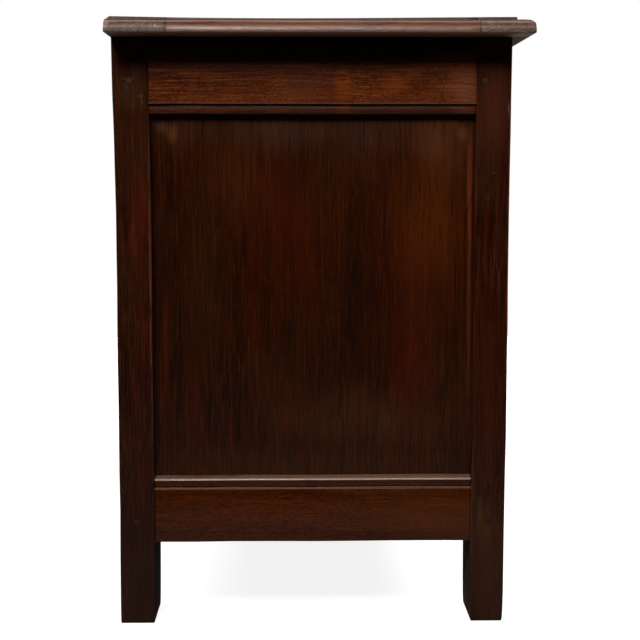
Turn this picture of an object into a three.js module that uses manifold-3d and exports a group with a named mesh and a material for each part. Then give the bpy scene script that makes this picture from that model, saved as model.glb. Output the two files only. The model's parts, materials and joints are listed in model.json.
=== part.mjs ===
import * as THREE from 'three';
import { mergeVertices } from 'three/addons/utils/BufferGeometryUtils.js';
import Module from 'manifold-3d';

// A joined oak coffer: four stiles that run down into feet, rails and muntins tenoned between them,
// panels held in grooves, a boarded floor and a framed lid on two iron hinges, with a chest lock.
// Lengths are in millimetres. X runs along the chest, the front looks to -Y and Z is up.

// Overall carcass
const bodyLength = 1100;
const bodyDepth = 470;
const bodyHeight = 706;
const footHeight = 102;

// Clearances: a wooden joint, a turning or sliding iron piece, and the extra length of a cutter
const fitGap = 0.3;
const runningGap = 0.5;
const overrun = 2;

// Stiles and rails
const stileWidth = 74;
const stileThickness = 41;
const railThickness = 26;
const topRailHeight = 90;
const bottomRailHeight = 80;
const muntinWidth = 80;

// Thumb moulding worked on the rails' inner edges: set back from the face by its quirk, upright, then
// rounded over into a ledge that slopes to the panel
const mouldingHeight = 13;
const quirkDepth = 2;
const thumbRadius = 3.5;
const ledgeRise = 2;
const thumbSteps = 6;

// Panels in their grooves
const panelRecess = 13;
const panelThickness = 9;
const tongueThickness = 7;
const tongueReach = 8;
const longSidePanels = 3;

// Mortise and tenon joints
const tenonThickness = 10;
const tenonSetBack = 8;
const tenonShoulder = 8;
const endTenonLength = 33;
const longTenonLength = 45;
const muntinTenonLength = 28;

// Pegs that pin the end rails, and where each was bored across its stile and along its rail
const pegRadius = 4.2;
const pegLength = 27;
const pegProud = 0.6;
const pegSides = 16;
const frontTopPegShare = 0.765;
const backTopPegShare = 0.5;
const frontBottomPegShare = 0.56;
const backBottomPegShare = 0.54;
const topPegHeightShare = 0.44;
const bottomPegHeightShare = 0.3;

// Floor boards in grooves of the bottom rails
const floorBoards = 5;
const floorThickness = 12;
const floorReach = 7.7;
const floorHeight = 16;

// Lid frame and its moulded edge
const lidThickness = 20;
const lidEndOverhang = 46;
const lidFrontOverhang = 18;
const lidBackOverhang = 3.5;
const lidFrontRailWidth = 61;
const lidBackRailWidth = 71;
const lidEndRailWidth = 75;
const lidMuntinWidth = 75;
const lidPanels = 3;
const lidPanelThickness = 8;
const lidPanelReach = 8;
const lidTenonThickness = 6;
const lidTenonLength = 30;
const lidTenonShoulder = 12;
const thumbWidth = 20;
const thumbHeight = 7.6;
const thumbFillet = 4.2;
const backRoundWidth = 5.8;
const backRoundHeight = 9;
const underRound = 2.6;
const edgeSteps = 7;

// Hinges
const hingeInset = 150;
const hingeWidth = 36;
const hingeIron = 2;
const hingeBarrelRadius = 4;
const hingePinRadius = 1.8;
const hingePinProud = 0.8;
const hingePinBehindBack = 0.5;
const hingeStrapLength = 58;
const hingePlateLength = 72;
const roundSides = 24;

// Lock, measured from the key's axis
const keyBelowTop = 26;
const keyShankRadius = 3;
const keyBitReach = 13;
const keyBitThickness = 3;
const keyOutside = 16.5;
const keyBowHalfHeight = 12.5;
const keyBowHalfDepth = 6;
const keyBowBar = 3.2;
const keyBowThickness = 3.6;
const keyCollarRadius = 4.6;
const keyCollarWidth = 2.4;
const escutcheonWidth = 46;
const escutcheonHeight = 46;
const escutcheonIron = 1.5;
const lockIron = 2;
const lockDepth = 20;
const lockTopDrop = 2;
const lockTail = 40;
const lockNose = 36;
const lockFloorRoom = 3;
const boltTravel = 10;
const boltHeight = 8;
const boltThickness = 5;
const boltAboveKey = 10;
const talonDepth = 4;
const boltTailRoom = 3;
const guideWidth = 3.5;
const guideRoom = 1.5;
const stapleFromKey = 24;
const stapleThickness = 5;
const stapleBar = 3;
const stapleEye = 7;
const stapleDrop = 22;
const stapleFootBar = 4;
const staplePlateLength = 34;
const stapleRoom = 1.5;
const boltHeadRoom = 2;

// Sizes that follow from the ones above
const endX = bodyLength / 2;
const sideY = bodyDepth / 2;
const railTopZ = bodyHeight;
const topSightZ = bodyHeight - topRailHeight;
const bottomSightZ = footHeight + bottomRailHeight;
const innerEndX = endX - stileWidth;
const innerSideY = sideY - stileThickness;
const grooveDepth = tongueReach + fitGap;
const grooveFront = panelRecess - fitGap;
const grooveBack = panelRecess + tongueThickness + fitGap;
const floorZ = footHeight + floorHeight;
const lidZ = bodyHeight + fitGap;
const lidTopZ = lidZ + lidThickness;
const lidEndX = endX + lidEndOverhang;
const lidFrontY = -sideY - lidFrontOverhang;
const lidBackY = sideY + lidBackOverhang;
const pinY = sideY + hingePinBehindBack;
const backReachY = Math.max(lidBackY, pinY + hingeBarrelRadius);
const centreShiftY = -(lidFrontY + backReachY) / 2;

const wasm = await Module();
wasm.setup();

const oak = { dark: 0x24120a, mid: 0x3a1d0f, warm: 0x4a2712, plain: 0x5a4028 };
const iron = 0x2a2724;

function solidOf(geometry) {
  const bare = geometry.clone();
  bare.deleteAttribute('normal');
  bare.deleteAttribute('uv');
  const merged = mergeVertices(bare);
  const mesh = new wasm.Mesh({
    numProp: 3,
    vertProperties: new Float32Array(merged.attributes.position.array),
    triVerts: new Uint32Array(merged.index.array),
  });
  return new wasm.Manifold(mesh);
}

function materialOf(colour, metal) {
  return new THREE.MeshStandardMaterial({
    color: colour,
    roughness: metal ? 0.55 : 0.6,
    metalness: metal ? 1 : 0,
    flatShading: true,
  });
}

function meshOf(name, solid, colour, metal = false) {
  const result = solid.getMesh();
  const geometry = new THREE.BufferGeometry();
  geometry.setAttribute('position', new THREE.BufferAttribute(new Float32Array(result.vertProperties), 3));
  geometry.setIndex(new THREE.BufferAttribute(new Uint32Array(result.triVerts), 1));
  const mesh = new THREE.Mesh(geometry, materialOf(colour, metal));
  mesh.name = name;
  return mesh;
}

function box(low, high) {
  const geometry = new THREE.BoxGeometry(high[0] - low[0], high[1] - low[1], high[2] - low[2]);
  geometry.translate((low[0] + high[0]) / 2, (low[1] + high[1]) / 2, (low[2] + high[2]) / 2);
  return solidOf(geometry);
}

function flipped(geometry) {
  const turned = geometry.index ? geometry.toNonIndexed() : geometry;
  const places = turned.attributes.position;
  for (let first = 0; first < places.count; first += 3) {
    const a = new THREE.Vector3().fromBufferAttribute(places, first);
    const b = new THREE.Vector3().fromBufferAttribute(places, first + 1);
    places.setXYZ(first, b.x, b.y, b.z);
    places.setXYZ(first + 1, a.x, a.y, a.z);
  }
  return turned;
}

// An outline drawn on two axes of the chest and drawn out along the third, from start to end
function prism(outline, across, up, along, start, end, holes = []) {
  const shape = new THREE.Shape(outline.map(([a, b]) => new THREE.Vector2(a, b)));
  for (const hole of holes) {
    shape.holes.push(new THREE.Path(hole.map(([a, b]) => new THREE.Vector2(a, b))));
  }
  const geometry = new THREE.ExtrudeGeometry(shape, { depth: end - start, bevelEnabled: false, curveSegments: 1 });
  geometry.translate(0, 0, start);
  const basis = new THREE.Matrix4().makeBasis(
    new THREE.Vector3(...across), new THREE.Vector3(...up), new THREE.Vector3(...along),
  );
  geometry.applyMatrix4(basis);
  return solidOf(basis.determinant() < 0 ? flipped(geometry) : geometry);
}

const alongX = [1, 0, 0];
const alongY = [0, 1, 0];
const alongZ = [0, 0, 1];

function circle(centre, radius, sides, from = 0) {
  return Array.from({ length: sides }, (_, step) => {
    const angle = from + (2 * Math.PI * step) / sides;
    return [centre[0] + radius * Math.cos(angle), centre[1] + radius * Math.sin(angle)];
  });
}

function rodX(y, z, radius, start, end, sides = roundSides) {
  return prism(circle([y, z], radius, sides), alongY, alongZ, alongX, start, end);
}

function rodY(x, z, radius, start, end, sides = roundSides) {
  return prism(circle([x, z], radius, sides), alongX, alongZ, alongY, start, end);
}

// The four walls. Depth is measured inward from the wall's face, so one set of outlines serves all.
const walls = {
  front: { face: -sideY, inward: 1, lies: 'x' },
  back: { face: sideY, inward: -1, lies: 'x' },
  left: { face: -endX, inward: 1, lies: 'y' },
  right: { face: endX, inward: -1, lies: 'y' },
};

function wallPoint(wall, along, depth, z) {
  const across = wall.face + wall.inward * depth;
  return wall.lies === 'x' ? [along, across, z] : [across, along, z];
}

function wallBox(wall, along, depth, height) {
  const a = wallPoint(wall, along[0], depth[0], height[0]);
  const b = wallPoint(wall, along[1], depth[1], height[1]);
  const low = a.map((value, axis) => Math.min(value, b[axis]));
  const high = a.map((value, axis) => Math.max(value, b[axis]));
  return box(low, high);
}

function wallPrism(wall, outline, start, end) {
  const points = outline.map(([depth, z]) => [wall.face + wall.inward * depth, z]);
  return wall.lies === 'x'
    ? prism(points, alongY, alongZ, alongX, start, end)
    : prism(points, alongX, alongZ, alongY, start, end);
}

// Half the clear length between the stiles on a wall, and its tenon length
function wallHalf(wall) {
  return wall.lies === 'x' ? innerEndX : innerSideY;
}

function tenonLength(wall) {
  return wall.lies === 'x' ? longTenonLength : endTenonLength;
}

// The moulded edge: depth behind the face, and distance from the sight edge back into the rail
function mouldingPoints() {
  const round = Array.from({ length: thumbSteps + 1 }, (_, step) => {
    const angle = (Math.PI / 2) * (step / thumbSteps);
    return [
      quirkDepth + thumbRadius * (1 - Math.cos(angle)),
      ledgeRise + thumbRadius * (1 - Math.sin(angle)),
    ];
  });
  return [[quirkDepth, mouldingHeight], ...round, [grooveFront, 0]];
}

// A rail's section, drawn from its plain edge at zero to its grooved edge at its height
function railOutline(height, moulded, grooved) {
  const outline = [[0, 0]];
  if (moulded) {
    outline.push([0, height - mouldingHeight]);
    outline.push(...mouldingPoints().map(([depth, back]) => [depth, height - back]));
  } else {
    outline.push([0, height], [grooveFront, height]);
  }
  outline.push([grooveFront, height - grooveDepth], [grooveBack, height - grooveDepth]);
  outline.push([grooveBack, height], [railThickness, height]);
  if (grooved) {
    outline.push([railThickness, floorHeight + floorThickness + fitGap]);
    outline.push([railThickness - floorReach - fitGap, floorHeight + floorThickness + fitGap]);
    outline.push([railThickness - floorReach - fitGap, floorHeight - fitGap]);
    outline.push([railThickness, floorHeight - fitGap]);
  }
  outline.push([railThickness, 0]);
  return outline;
}

// Tenon heights of the top and bottom rails
const topTenon = [topSightZ + mouldingHeight + fitGap, railTopZ - tenonShoulder];
const bottomTenon = [footHeight + tenonShoulder, bottomSightZ - mouldingHeight - fitGap];

function tenonBox(wall, height, side, clearance) {
  const shoulder = wallHalf(wall);
  const along = [side * (shoulder - overrun), side * (shoulder + tenonLength(wall) + clearance)];
  const depth = [tenonSetBack - clearance, tenonSetBack + tenonThickness + clearance];
  return wallBox(wall, along, depth, [height[0] - clearance, height[1] + clearance]);
}

function muntinCentres() {
  const panelWidth = (2 * innerEndX - (longSidePanels - 1) * muntinWidth) / longSidePanels;
  return Array.from({ length: longSidePanels - 1 }, (_, step) => (
    -innerEndX + (step + 1) * panelWidth + (step + 0.5) * muntinWidth
  ));
}

// A muntin's tenon, or its mortise when given a clearance
function muntinTenon(wall, centre, sightZ, away, clearance) {
  const half = muntinWidth / 2 - grooveDepth - overrun + clearance;
  const depth = [tenonSetBack - clearance, tenonSetBack + tenonThickness + clearance];
  const ends = [sightZ - away * overrun, sightZ + away * (muntinTenonLength + clearance)];
  return wallBox(wall, [centre - half, centre + half], depth, [Math.min(...ends), Math.max(...ends)]);
}

// Peg places on the end walls: height, and distance from the outer face of the stile
const pegPlaces = {
  front: {
    top: frontTopPegShare * stileThickness,
    bottom: frontBottomPegShare * stileThickness,
  },
  back: {
    top: backTopPegShare * stileThickness,
    bottom: backBottomPegShare * stileThickness,
  },
};
const pegHeights = {
  top: railTopZ - topRailHeight * (1 - topPegHeightShare),
  bottom: footHeight + bottomRailHeight * bottomPegHeightShare,
};

function pegRod(endSide, sideName, level, radius, extra) {
  const sideSign = sideName === 'front' ? -1 : 1;
  const y = sideSign * (sideY - pegPlaces[sideName][level]);
  const outer = endX + (extra > 0 ? overrun : pegProud);
  const inner = endX - pegLength - extra;
  const ends = [endSide * outer, endSide * inner];
  return rodX(y, pegHeights[level], radius, Math.min(...ends), Math.max(...ends), pegSides);
}

function stile(endName, sideName) {
  const end = walls[endName];
  const side = walls[sideName];
  const endSide = endName === 'left' ? -1 : 1;
  const sideSign = sideName === 'front' ? -1 : 1;
  const xs = [endSide * innerEndX, endSide * endX];
  const ys = [sideSign * innerSideY, sideSign * sideY];
  let solid = box(
    [Math.min(...xs), Math.min(...ys), 0],
    [Math.max(...xs), Math.max(...ys), bodyHeight],
  );
  const grooveZ = [bottomSightZ - grooveDepth, topSightZ + grooveDepth];
  for (const [wall, direction] of [[end, sideSign], [side, endSide]]) {
    for (const height of [topTenon, bottomTenon]) {
      solid = solid.subtract(tenonBox(wall, height, direction, fitGap));
    }
    const shoulder = wallHalf(wall);
    const along = [direction * (shoulder - overrun), direction * (shoulder + grooveDepth)];
    solid = solid.subtract(wallBox(wall, along, [grooveFront, grooveBack], grooveZ));
  }
  for (const level of ['top', 'bottom']) {
    solid = solid.subtract(pegRod(endSide, sideName, level, pegRadius + fitGap, fitGap));
  }
  return solid;
}

function rail(wallName, level) {
  const wall = walls[wallName];
  const top = level === 'top';
  const height = top ? topRailHeight : bottomRailHeight;
  const outline = railOutline(height, wallName !== 'back', !top).map(([depth, up]) => (
    [depth, top ? railTopZ - up : footHeight + up]
  ));
  const half = wallHalf(wall) - fitGap;
  let solid = wallPrism(wall, outline, -half, half);
  for (const side of [-1, 1]) {
    solid = solid.add(tenonBox(wall, top ? topTenon : bottomTenon, side, 0));
  }
  if (wall.lies === 'x') {
    for (const centre of muntinCentres()) {
      const sightZ = top ? topSightZ : bottomSightZ;
      solid = solid.subtract(muntinTenon(wall, centre, sightZ, top ? 1 : -1, fitGap));
    }
    return solid;
  }
  const endSide = wallName === 'left' ? -1 : 1;
  for (const sideName of ['front', 'back']) {
    solid = solid.subtract(pegRod(endSide, sideName, level, pegRadius + fitGap, fitGap));
  }
  return solid;
}

// Cutters that scribe a muntin's shoulder over the moulding of the rail it meets
function scribeCutter(wall, level, centre) {
  const away = level === 'top' ? 1 : -1;
  const sightZ = level === 'top' ? topSightZ : bottomSightZ;
  const place = (depth, back) => [depth - fitGap, sightZ + away * (back - fitGap)];
  const outline = mouldingPoints().map(([depth, back]) => place(depth, back));
  outline.push(place(railThickness + overrun, 0));
  outline.push(place(railThickness + overrun, mouldingHeight + overrun));
  outline.push(place(quirkDepth, mouldingHeight + overrun));
  const half = muntinWidth / 2 + overrun;
  return wallPrism(wall, outline, centre - half, centre + half);
}

function muntin(wallName, centre) {
  const wall = walls[wallName];
  const moulded = wallName !== 'back';
  const lap = moulded ? mouldingHeight : 0;
  const low = bottomSightZ - lap + fitGap;
  const high = topSightZ + lap - fitGap;
  const half = muntinWidth / 2;
  let solid = wallBox(wall, [centre - half, centre + half], [0, railThickness], [low, high]);
  if (moulded) {
    solid = solid.subtract(scribeCutter(wall, 'top', centre));
    solid = solid.subtract(scribeCutter(wall, 'bottom', centre));
  }
  for (const side of [-1, 1]) {
    const along = [centre + side * (half - grooveDepth), centre + side * (half + overrun)];
    solid = solid.subtract(wallBox(wall, along, [grooveFront, grooveBack], [0, bodyHeight]));
  }
  solid = solid.add(muntinTenon(wall, centre, topSightZ, 1, 0));
  return solid.add(muntinTenon(wall, centre, bottomSightZ, -1, 0));
}

// A panel between two sight edges: a thin tongue all round and a thicker field behind it
function panel(wallName, along) {
  const wall = walls[wallName];
  const tongue = wallBox(
    wall,
    [along[0] - tongueReach, along[1] + tongueReach],
    [panelRecess, panelRecess + tongueThickness],
    [bottomSightZ - tongueReach, topSightZ + tongueReach],
  );
  const field = wallBox(
    wall,
    [along[0] + fitGap, along[1] - fitGap],
    [panelRecess, panelRecess + panelThickness],
    [bottomSightZ + fitGap, topSightZ - fitGap],
  );
  return tongue.add(field);
}

function floorBoard(index) {
  const reachX = endX - railThickness + floorReach;
  const reachY = sideY - railThickness + floorReach;
  const width = (2 * reachX) / floorBoards;
  const start = -reachX + index * width + (index > 0 ? fitGap : 0);
  let solid = box([start, -reachY, floorZ], [-reachX + (index + 1) * width, reachY, floorZ + floorThickness]);
  for (const endSide of [-1, 1]) {
    for (const side of [-1, 1]) {
      const xs = [endSide * (innerEndX - fitGap), endSide * (endX + overrun)];
      const ys = [side * (innerSideY - fitGap), side * (sideY + overrun)];
      solid = solid.subtract(box(
        [Math.min(...xs), Math.min(...ys), 0],
        [Math.max(...xs), Math.max(...ys), bodyHeight],
      ));
    }
  }
  return solid;
}

// Lid edges: distance in from the tip, against height above the lid's underside
function arc(centre, radii, from, to) {
  return Array.from({ length: edgeSteps + 1 }, (_, step) => {
    const angle = from + ((to - from) * step) / edgeSteps;
    return [centre[0] + radii[0] * Math.cos(angle), centre[1] + radii[1] * Math.sin(angle)];
  });
}

function thumbEdge() {
  const shoulder = lidThickness - thumbFillet;
  const under = arc([underRound, underRound], [underRound, underRound], -Math.PI / 2, -Math.PI);
  const nose = arc([thumbWidth, shoulder - thumbHeight], [thumbWidth, thumbHeight], Math.PI, Math.PI / 2);
  return [...under, ...nose, [thumbWidth, lidThickness]];
}

function backEdge() {
  const under = arc([underRound, underRound], [underRound, underRound], -Math.PI / 2, -Math.PI);
  const top = arc(
    [backRoundWidth, lidThickness - backRoundHeight], [backRoundWidth, backRoundHeight], Math.PI, Math.PI / 2,
  );
  return [...under, ...top];
}

function lidEnvelope() {
  const front = thumbEdge().map(([inward, up]) => [lidFrontY + inward, lidZ + up]);
  const back = backEdge().map(([inward, up]) => [lidBackY - inward, lidZ + up]).reverse();
  const ends = thumbEdge().map(([inward, up]) => [-lidEndX + inward, lidZ + up]);
  const otherEnd = thumbEdge().map(([inward, up]) => [lidEndX - inward, lidZ + up]).reverse();
  const lengthwise = prism([...front, ...back], alongY, alongZ, alongX, -lidEndX - overrun, lidEndX + overrun);
  const crosswise = prism(
    [...ends, ...otherEnd], alongX, alongZ, alongY, lidFrontY - overrun, lidBackY + overrun,
  );
  return lengthwise.intersect(crosswise);
}

const lidInnerFrontY = lidFrontY + lidFrontRailWidth;
const lidInnerBackY = lidBackY - lidBackRailWidth;
const lidInnerEndX = lidEndX - lidEndRailWidth;
const lidGrooveDepth = lidPanelReach + fitGap;
const lidPanelLow = lidZ + (lidThickness - thumbFillet - lidPanelThickness) / 2 + fitGap;
const lidPanelHigh = lidPanelLow + lidPanelThickness;
const lidTenonLow = (lidPanelLow + lidPanelHigh - lidTenonThickness) / 2;
const lidTenonHigh = lidTenonLow + lidTenonThickness;

function lidBars() {
  const panelLength = (2 * lidInnerEndX - (lidPanels - 1) * lidMuntinWidth) / lidPanels;
  const bars = [{ name: 'lid_left_rail', from: -lidEndX, to: -lidInnerEndX, outer: -1 }];
  for (let index = 1; index < lidPanels; index += 1) {
    const from = -lidInnerEndX + index * panelLength + (index - 1) * lidMuntinWidth;
    const name = `lid_muntin_${index}`;
    bars.push({ name, from, to: from + lidMuntinWidth, outer: 0 });
  }
  bars.push({ name: 'lid_right_rail', from: lidInnerEndX, to: lidEndX, outer: 1 });
  return bars;
}

// The tenon at one end of a lid bar, or its mortise when given a clearance
function lidTenon(bar, side, clearance) {
  const outerShoulder = Math.max(lidTenonShoulder, thumbWidth + fitGap);
  const from = bar.from + (bar.outer < 0 ? outerShoulder : lidTenonShoulder) - clearance;
  const to = bar.to - (bar.outer > 0 ? outerShoulder : lidTenonShoulder) + clearance;
  const shoulder = side < 0 ? lidInnerFrontY : lidInnerBackY;
  const ys = [shoulder - side * overrun, shoulder + side * (lidTenonLength + clearance)];
  return box(
    [from, Math.min(...ys), lidTenonLow - clearance],
    [to, Math.max(...ys), lidTenonHigh + clearance],
  );
}

function lidGroove(fromX, toX, fromY, toY) {
  return box([fromX, fromY, lidPanelLow - fitGap], [toX, toY, lidPanelHigh + fitGap]);
}

function lidBar(bar, envelope) {
  let solid = box(
    [bar.from, lidInnerFrontY + fitGap, lidZ - overrun],
    [bar.to, lidInnerBackY - fitGap, lidTopZ + overrun],
  ).intersect(envelope);
  if (bar.outer >= 0) {
    solid = solid.subtract(lidGroove(bar.from - overrun, bar.from + lidGrooveDepth, lidFrontY, lidBackY));
  }
  if (bar.outer <= 0) {
    solid = solid.subtract(lidGroove(bar.to - lidGrooveDepth, bar.to + overrun, lidFrontY, lidBackY));
  }
  return solid.add(lidTenon(bar, -1, 0)).add(lidTenon(bar, 1, 0));
}

function lidLongRail(side, envelope) {
  const inner = side < 0 ? lidInnerFrontY : lidInnerBackY;
  const outer = side < 0 ? lidFrontY - overrun : lidBackY + overrun;
  let solid = box(
    [-lidEndX - overrun, Math.min(inner, outer), lidZ - overrun],
    [lidEndX + overrun, Math.max(inner, outer), lidTopZ + overrun],
  ).intersect(envelope);
  const ys = [inner - side * overrun, inner + side * lidGrooveDepth];
  const reach = lidInnerEndX + lidGrooveDepth;
  solid = solid.subtract(lidGroove(-reach, reach, Math.min(...ys), Math.max(...ys)));
  for (const bar of lidBars()) {
    solid = solid.subtract(lidTenon(bar, side, fitGap));
  }
  return solid;
}

function lidPanel(fromX, toX) {
  return box(
    [fromX - lidPanelReach, lidInnerFrontY - lidPanelReach, lidPanelLow],
    [toX + lidPanelReach, lidInnerBackY + lidPanelReach, lidPanelHigh],
  );
}

// Hinges: the strap is let into the lid, the plate into the back rail, and both wrap one pin
const hingeCentres = { left: -endX + hingeInset, right: endX - hingeInset };
const knuckleWidth = (hingeWidth - 2 * fitGap) / 3;

function hingeBore(centre) {
  const reach = hingeWidth / 2 + overrun;
  return rodX(pinY, lidZ, hingePinRadius + fitGap, centre - reach, centre + reach);
}

function hingeStrap(centre) {
  const half = hingeWidth / 2;
  const middle = knuckleWidth / 2;
  const leaf = box(
    [centre - half, pinY - hingeStrapLength, lidZ],
    [centre + half, pinY - hingeBarrelRadius - runningGap, lidZ + hingeIron],
  );
  const neck = box(
    [centre - middle, pinY - hingeBarrelRadius - overrun, lidZ],
    [centre + middle, pinY, lidZ + hingeIron],
  );
  const barrel = rodX(pinY, lidZ, hingeBarrelRadius, centre - middle, centre + middle);
  return leaf.add(neck).add(barrel).subtract(hingeBore(centre));
}

function hingePlate(centre) {
  const half = hingeWidth / 2;
  const middle = knuckleWidth / 2 + fitGap;
  let solid = box(
    [centre - half, sideY - hingeIron, lidZ - hingePlateLength],
    [centre + half, sideY, lidZ - hingeBarrelRadius - runningGap],
  );
  for (const side of [-1, 1]) {
    const ends = [centre + side * middle, centre + side * half];
    const low = Math.min(...ends);
    const high = Math.max(...ends);
    solid = solid.add(box([low, sideY - hingeIron, lidZ - hingeBarrelRadius - overrun], [high, sideY, lidZ]));
    solid = solid.add(rodX(pinY, lidZ, hingeBarrelRadius, low, high));
  }
  return solid.subtract(hingeBore(centre));
}

function hingePin(centre) {
  const half = hingeWidth / 2 + hingePinProud;
  return rodX(pinY, lidZ, hingePinRadius, centre - half, centre + half);
}

// The round notch that the barrel turns in, cut in both the lid and the back rail
function barrelNotch(centre) {
  const half = hingeWidth / 2 + hingePinProud + fitGap;
  return rodX(pinY, lidZ, hingeBarrelRadius + runningGap, centre - half, centre + half);
}

function strapRecess(centre) {
  const half = hingeWidth / 2 + fitGap;
  return box(
    [centre - half, pinY - hingeStrapLength - fitGap, lidZ - overrun],
    [centre + half, pinY, lidZ + hingeIron + fitGap],
  );
}

function plateRecess(centre) {
  const half = hingeWidth / 2 + fitGap;
  return box(
    [centre - half, sideY - hingeIron - fitGap, lidZ - hingePlateLength - fitGap],
    [centre + half, sideY + overrun, lidZ + overrun],
  );
}

// Lock: the key turns once and its bit carries the bolt along through the eye of the lid's staple
const keyZ = bodyHeight - keyBelowTop;
const lockFaceY = -sideY + railThickness + fitGap;
const lockBackY = lockFaceY + lockDepth;
const lockTopZ = bodyHeight - lockTopDrop;
const lockLowZ = keyZ - keyBitReach - lockFloorRoom - lockIron;
const stapleY = lockFaceY + stapleRoom + stapleBar + stapleEye / 2;
const boltLowZ = keyZ + boltAboveKey;
const boltHighZ = boltLowZ + boltHeight;
const boltHeadX = stapleFromKey - stapleThickness / 2 - boltHeadRoom;
const guideNearX = keyBitReach + guideRoom;
const boltTailX = -guideNearX - guideWidth - boltTravel - boltTailRoom;
const boltY = [stapleY - boltThickness / 2, stapleY + boltThickness / 2];

function lockCase() {
  let solid = box([-lockTail, lockFaceY, lockLowZ], [lockNose, lockBackY, lockTopZ]);
  solid = solid.subtract(box(
    [-lockTail + lockIron, lockFaceY - overrun, lockLowZ + lockIron],
    [lockNose - lockIron, lockBackY - lockIron, lockTopZ - lockIron],
  ));
  const slotHalf = stapleThickness / 2 + stapleRoom;
  solid = solid.subtract(box(
    [stapleFromKey - slotHalf, lockFaceY - overrun, lockTopZ - lockIron - overrun],
    [stapleFromKey + slotHalf, stapleY + stapleEye / 2 + stapleBar + stapleRoom, lockTopZ + overrun],
  ));
  for (const from of [-guideNearX - guideWidth, guideNearX]) {
    const guide = box(
      [from, boltY[0] - lockIron, boltLowZ - lockIron],
      [from + guideWidth, lockBackY - lockIron / 2, lockTopZ - lockIron / 2],
    );
    const window = box(
      [from - overrun, boltY[0] - fitGap, boltLowZ - fitGap],
      [from + guideWidth + overrun, boltY[1] + fitGap, boltHighZ + fitGap],
    );
    solid = solid.add(guide.subtract(window));
  }
  return solid;
}

// The talon is as wide as the bit sweeps while it is inside the bolt, seen from the moving bolt
function lockBolt() {
  const bolt = box([boltTailX, boltY[0], boltLowZ], [boltHeadX, boltY[1], boltHighZ]);
  const entering = Math.acos(boltAboveKey / keyBitReach);
  const chord = keyBitReach * Math.sin(entering) + keyBitThickness / 2 + runningGap;
  const shiftIn = boltTravel * (0.5 - entering / (2 * Math.PI));
  const shiftOut = boltTravel * (0.5 + entering / (2 * Math.PI));
  const talon = box(
    [-chord - shiftIn - runningGap, boltY[0] - overrun, boltLowZ - overrun],
    [chord - shiftOut + runningGap, boltY[1] + overrun, boltLowZ + talonDepth],
  );
  return bolt.subtract(talon);
}

function lidStaple() {
  const half = stapleThickness / 2;
  const outer = stapleEye / 2 + stapleBar;
  const loop = box(
    [stapleFromKey - half, stapleY - outer, lidZ - stapleDrop],
    [stapleFromKey + half, stapleY + outer, lidZ + hingeIron / 2],
  );
  const eye = box(
    [stapleFromKey - half - overrun, stapleY - stapleEye / 2, lidZ - stapleDrop + stapleFootBar],
    [stapleFromKey + half + overrun, stapleY + stapleEye / 2, lidZ],
  );
  const plate = box(
    [stapleFromKey - staplePlateLength / 2, stapleY - outer, lidZ],
    [stapleFromKey + staplePlateLength / 2, stapleY + outer, lidZ + hingeIron],
  );
  return loop.subtract(eye).add(plate);
}

function staplePlateRecess() {
  const outer = stapleEye / 2 + stapleBar + fitGap;
  return box(
    [stapleFromKey - staplePlateLength / 2 - fitGap, stapleY - outer, lidZ - overrun],
    [stapleFromKey + staplePlateLength / 2 + fitGap, stapleY + outer, lidZ + hingeIron + fitGap],
  );
}

// The keyhole: round for the shank, with a slot below it that lets the bit through
function keyhole(fromY, toY) {
  const half = keyBitThickness / 2 + runningGap;
  const slot = box([-half, fromY, keyZ - keyBitReach - runningGap], [half, toY, keyZ]);
  return rodY(0, keyZ, keyShankRadius + fitGap, fromY, toY).add(slot);
}

function escutcheon() {
  const outerY = -sideY - fitGap - escutcheonIron;
  const middleZ = keyZ - keyBitReach / 2;
  const halfWidth = escutcheonWidth / 2;
  const halfHeight = escutcheonHeight / 2;
  const clipped = Math.min(halfWidth, halfHeight) / 3;
  const outline = [
    [-halfWidth, middleZ - halfHeight + clipped], [-halfWidth + clipped, middleZ - halfHeight],
    [halfWidth - clipped, middleZ - halfHeight], [halfWidth, middleZ - halfHeight + clipped],
    [halfWidth, middleZ + halfHeight - clipped], [halfWidth - clipped, middleZ + halfHeight],
    [-halfWidth + clipped, middleZ + halfHeight], [-halfWidth, middleZ + halfHeight - clipped],
  ];
  const plate = prism(outline, alongX, alongZ, alongY, outerY, -sideY - fitGap);
  return plate.subtract(keyhole(outerY - overrun, -sideY + overrun));
}

function ellipse(centre, radii, sides) {
  return circle([0, 0], 1, sides).map(([a, b]) => [centre[0] + radii[0] * a, centre[1] + radii[1] * b]);
}

function key() {
  const tipY = boltY[1];
  const collarY = -sideY - fitGap - escutcheonIron - runningGap;
  const bowY = -sideY - keyOutside + keyBowHalfDepth;
  const shank = rodY(0, keyZ, keyShankRadius, bowY + keyBowHalfDepth - keyBowBar / 2, tipY + runningGap);
  const collar = rodY(0, keyZ, keyCollarRadius, collarY - keyCollarWidth, collarY);
  const bit = box(
    [-keyBitThickness / 2, lockFaceY + runningGap, keyZ - keyBitReach],
    [keyBitThickness / 2, tipY, keyZ],
  );
  const bow = prism(
    ellipse([bowY, keyZ], [keyBowHalfDepth, keyBowHalfHeight], roundSides),
    alongY, alongZ, alongX, -keyBowThickness / 2, keyBowThickness / 2,
    [ellipse([bowY, keyZ], [keyBowHalfDepth - keyBowBar, keyBowHalfHeight - keyBowBar], roundSides)],
  );
  return shank.add(collar).add(bit).add(bow);
}

const chest = new THREE.Group();

function add(name, solid, colour, metal) {
  chest.add(meshOf(name, solid, colour, metal));
}

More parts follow.
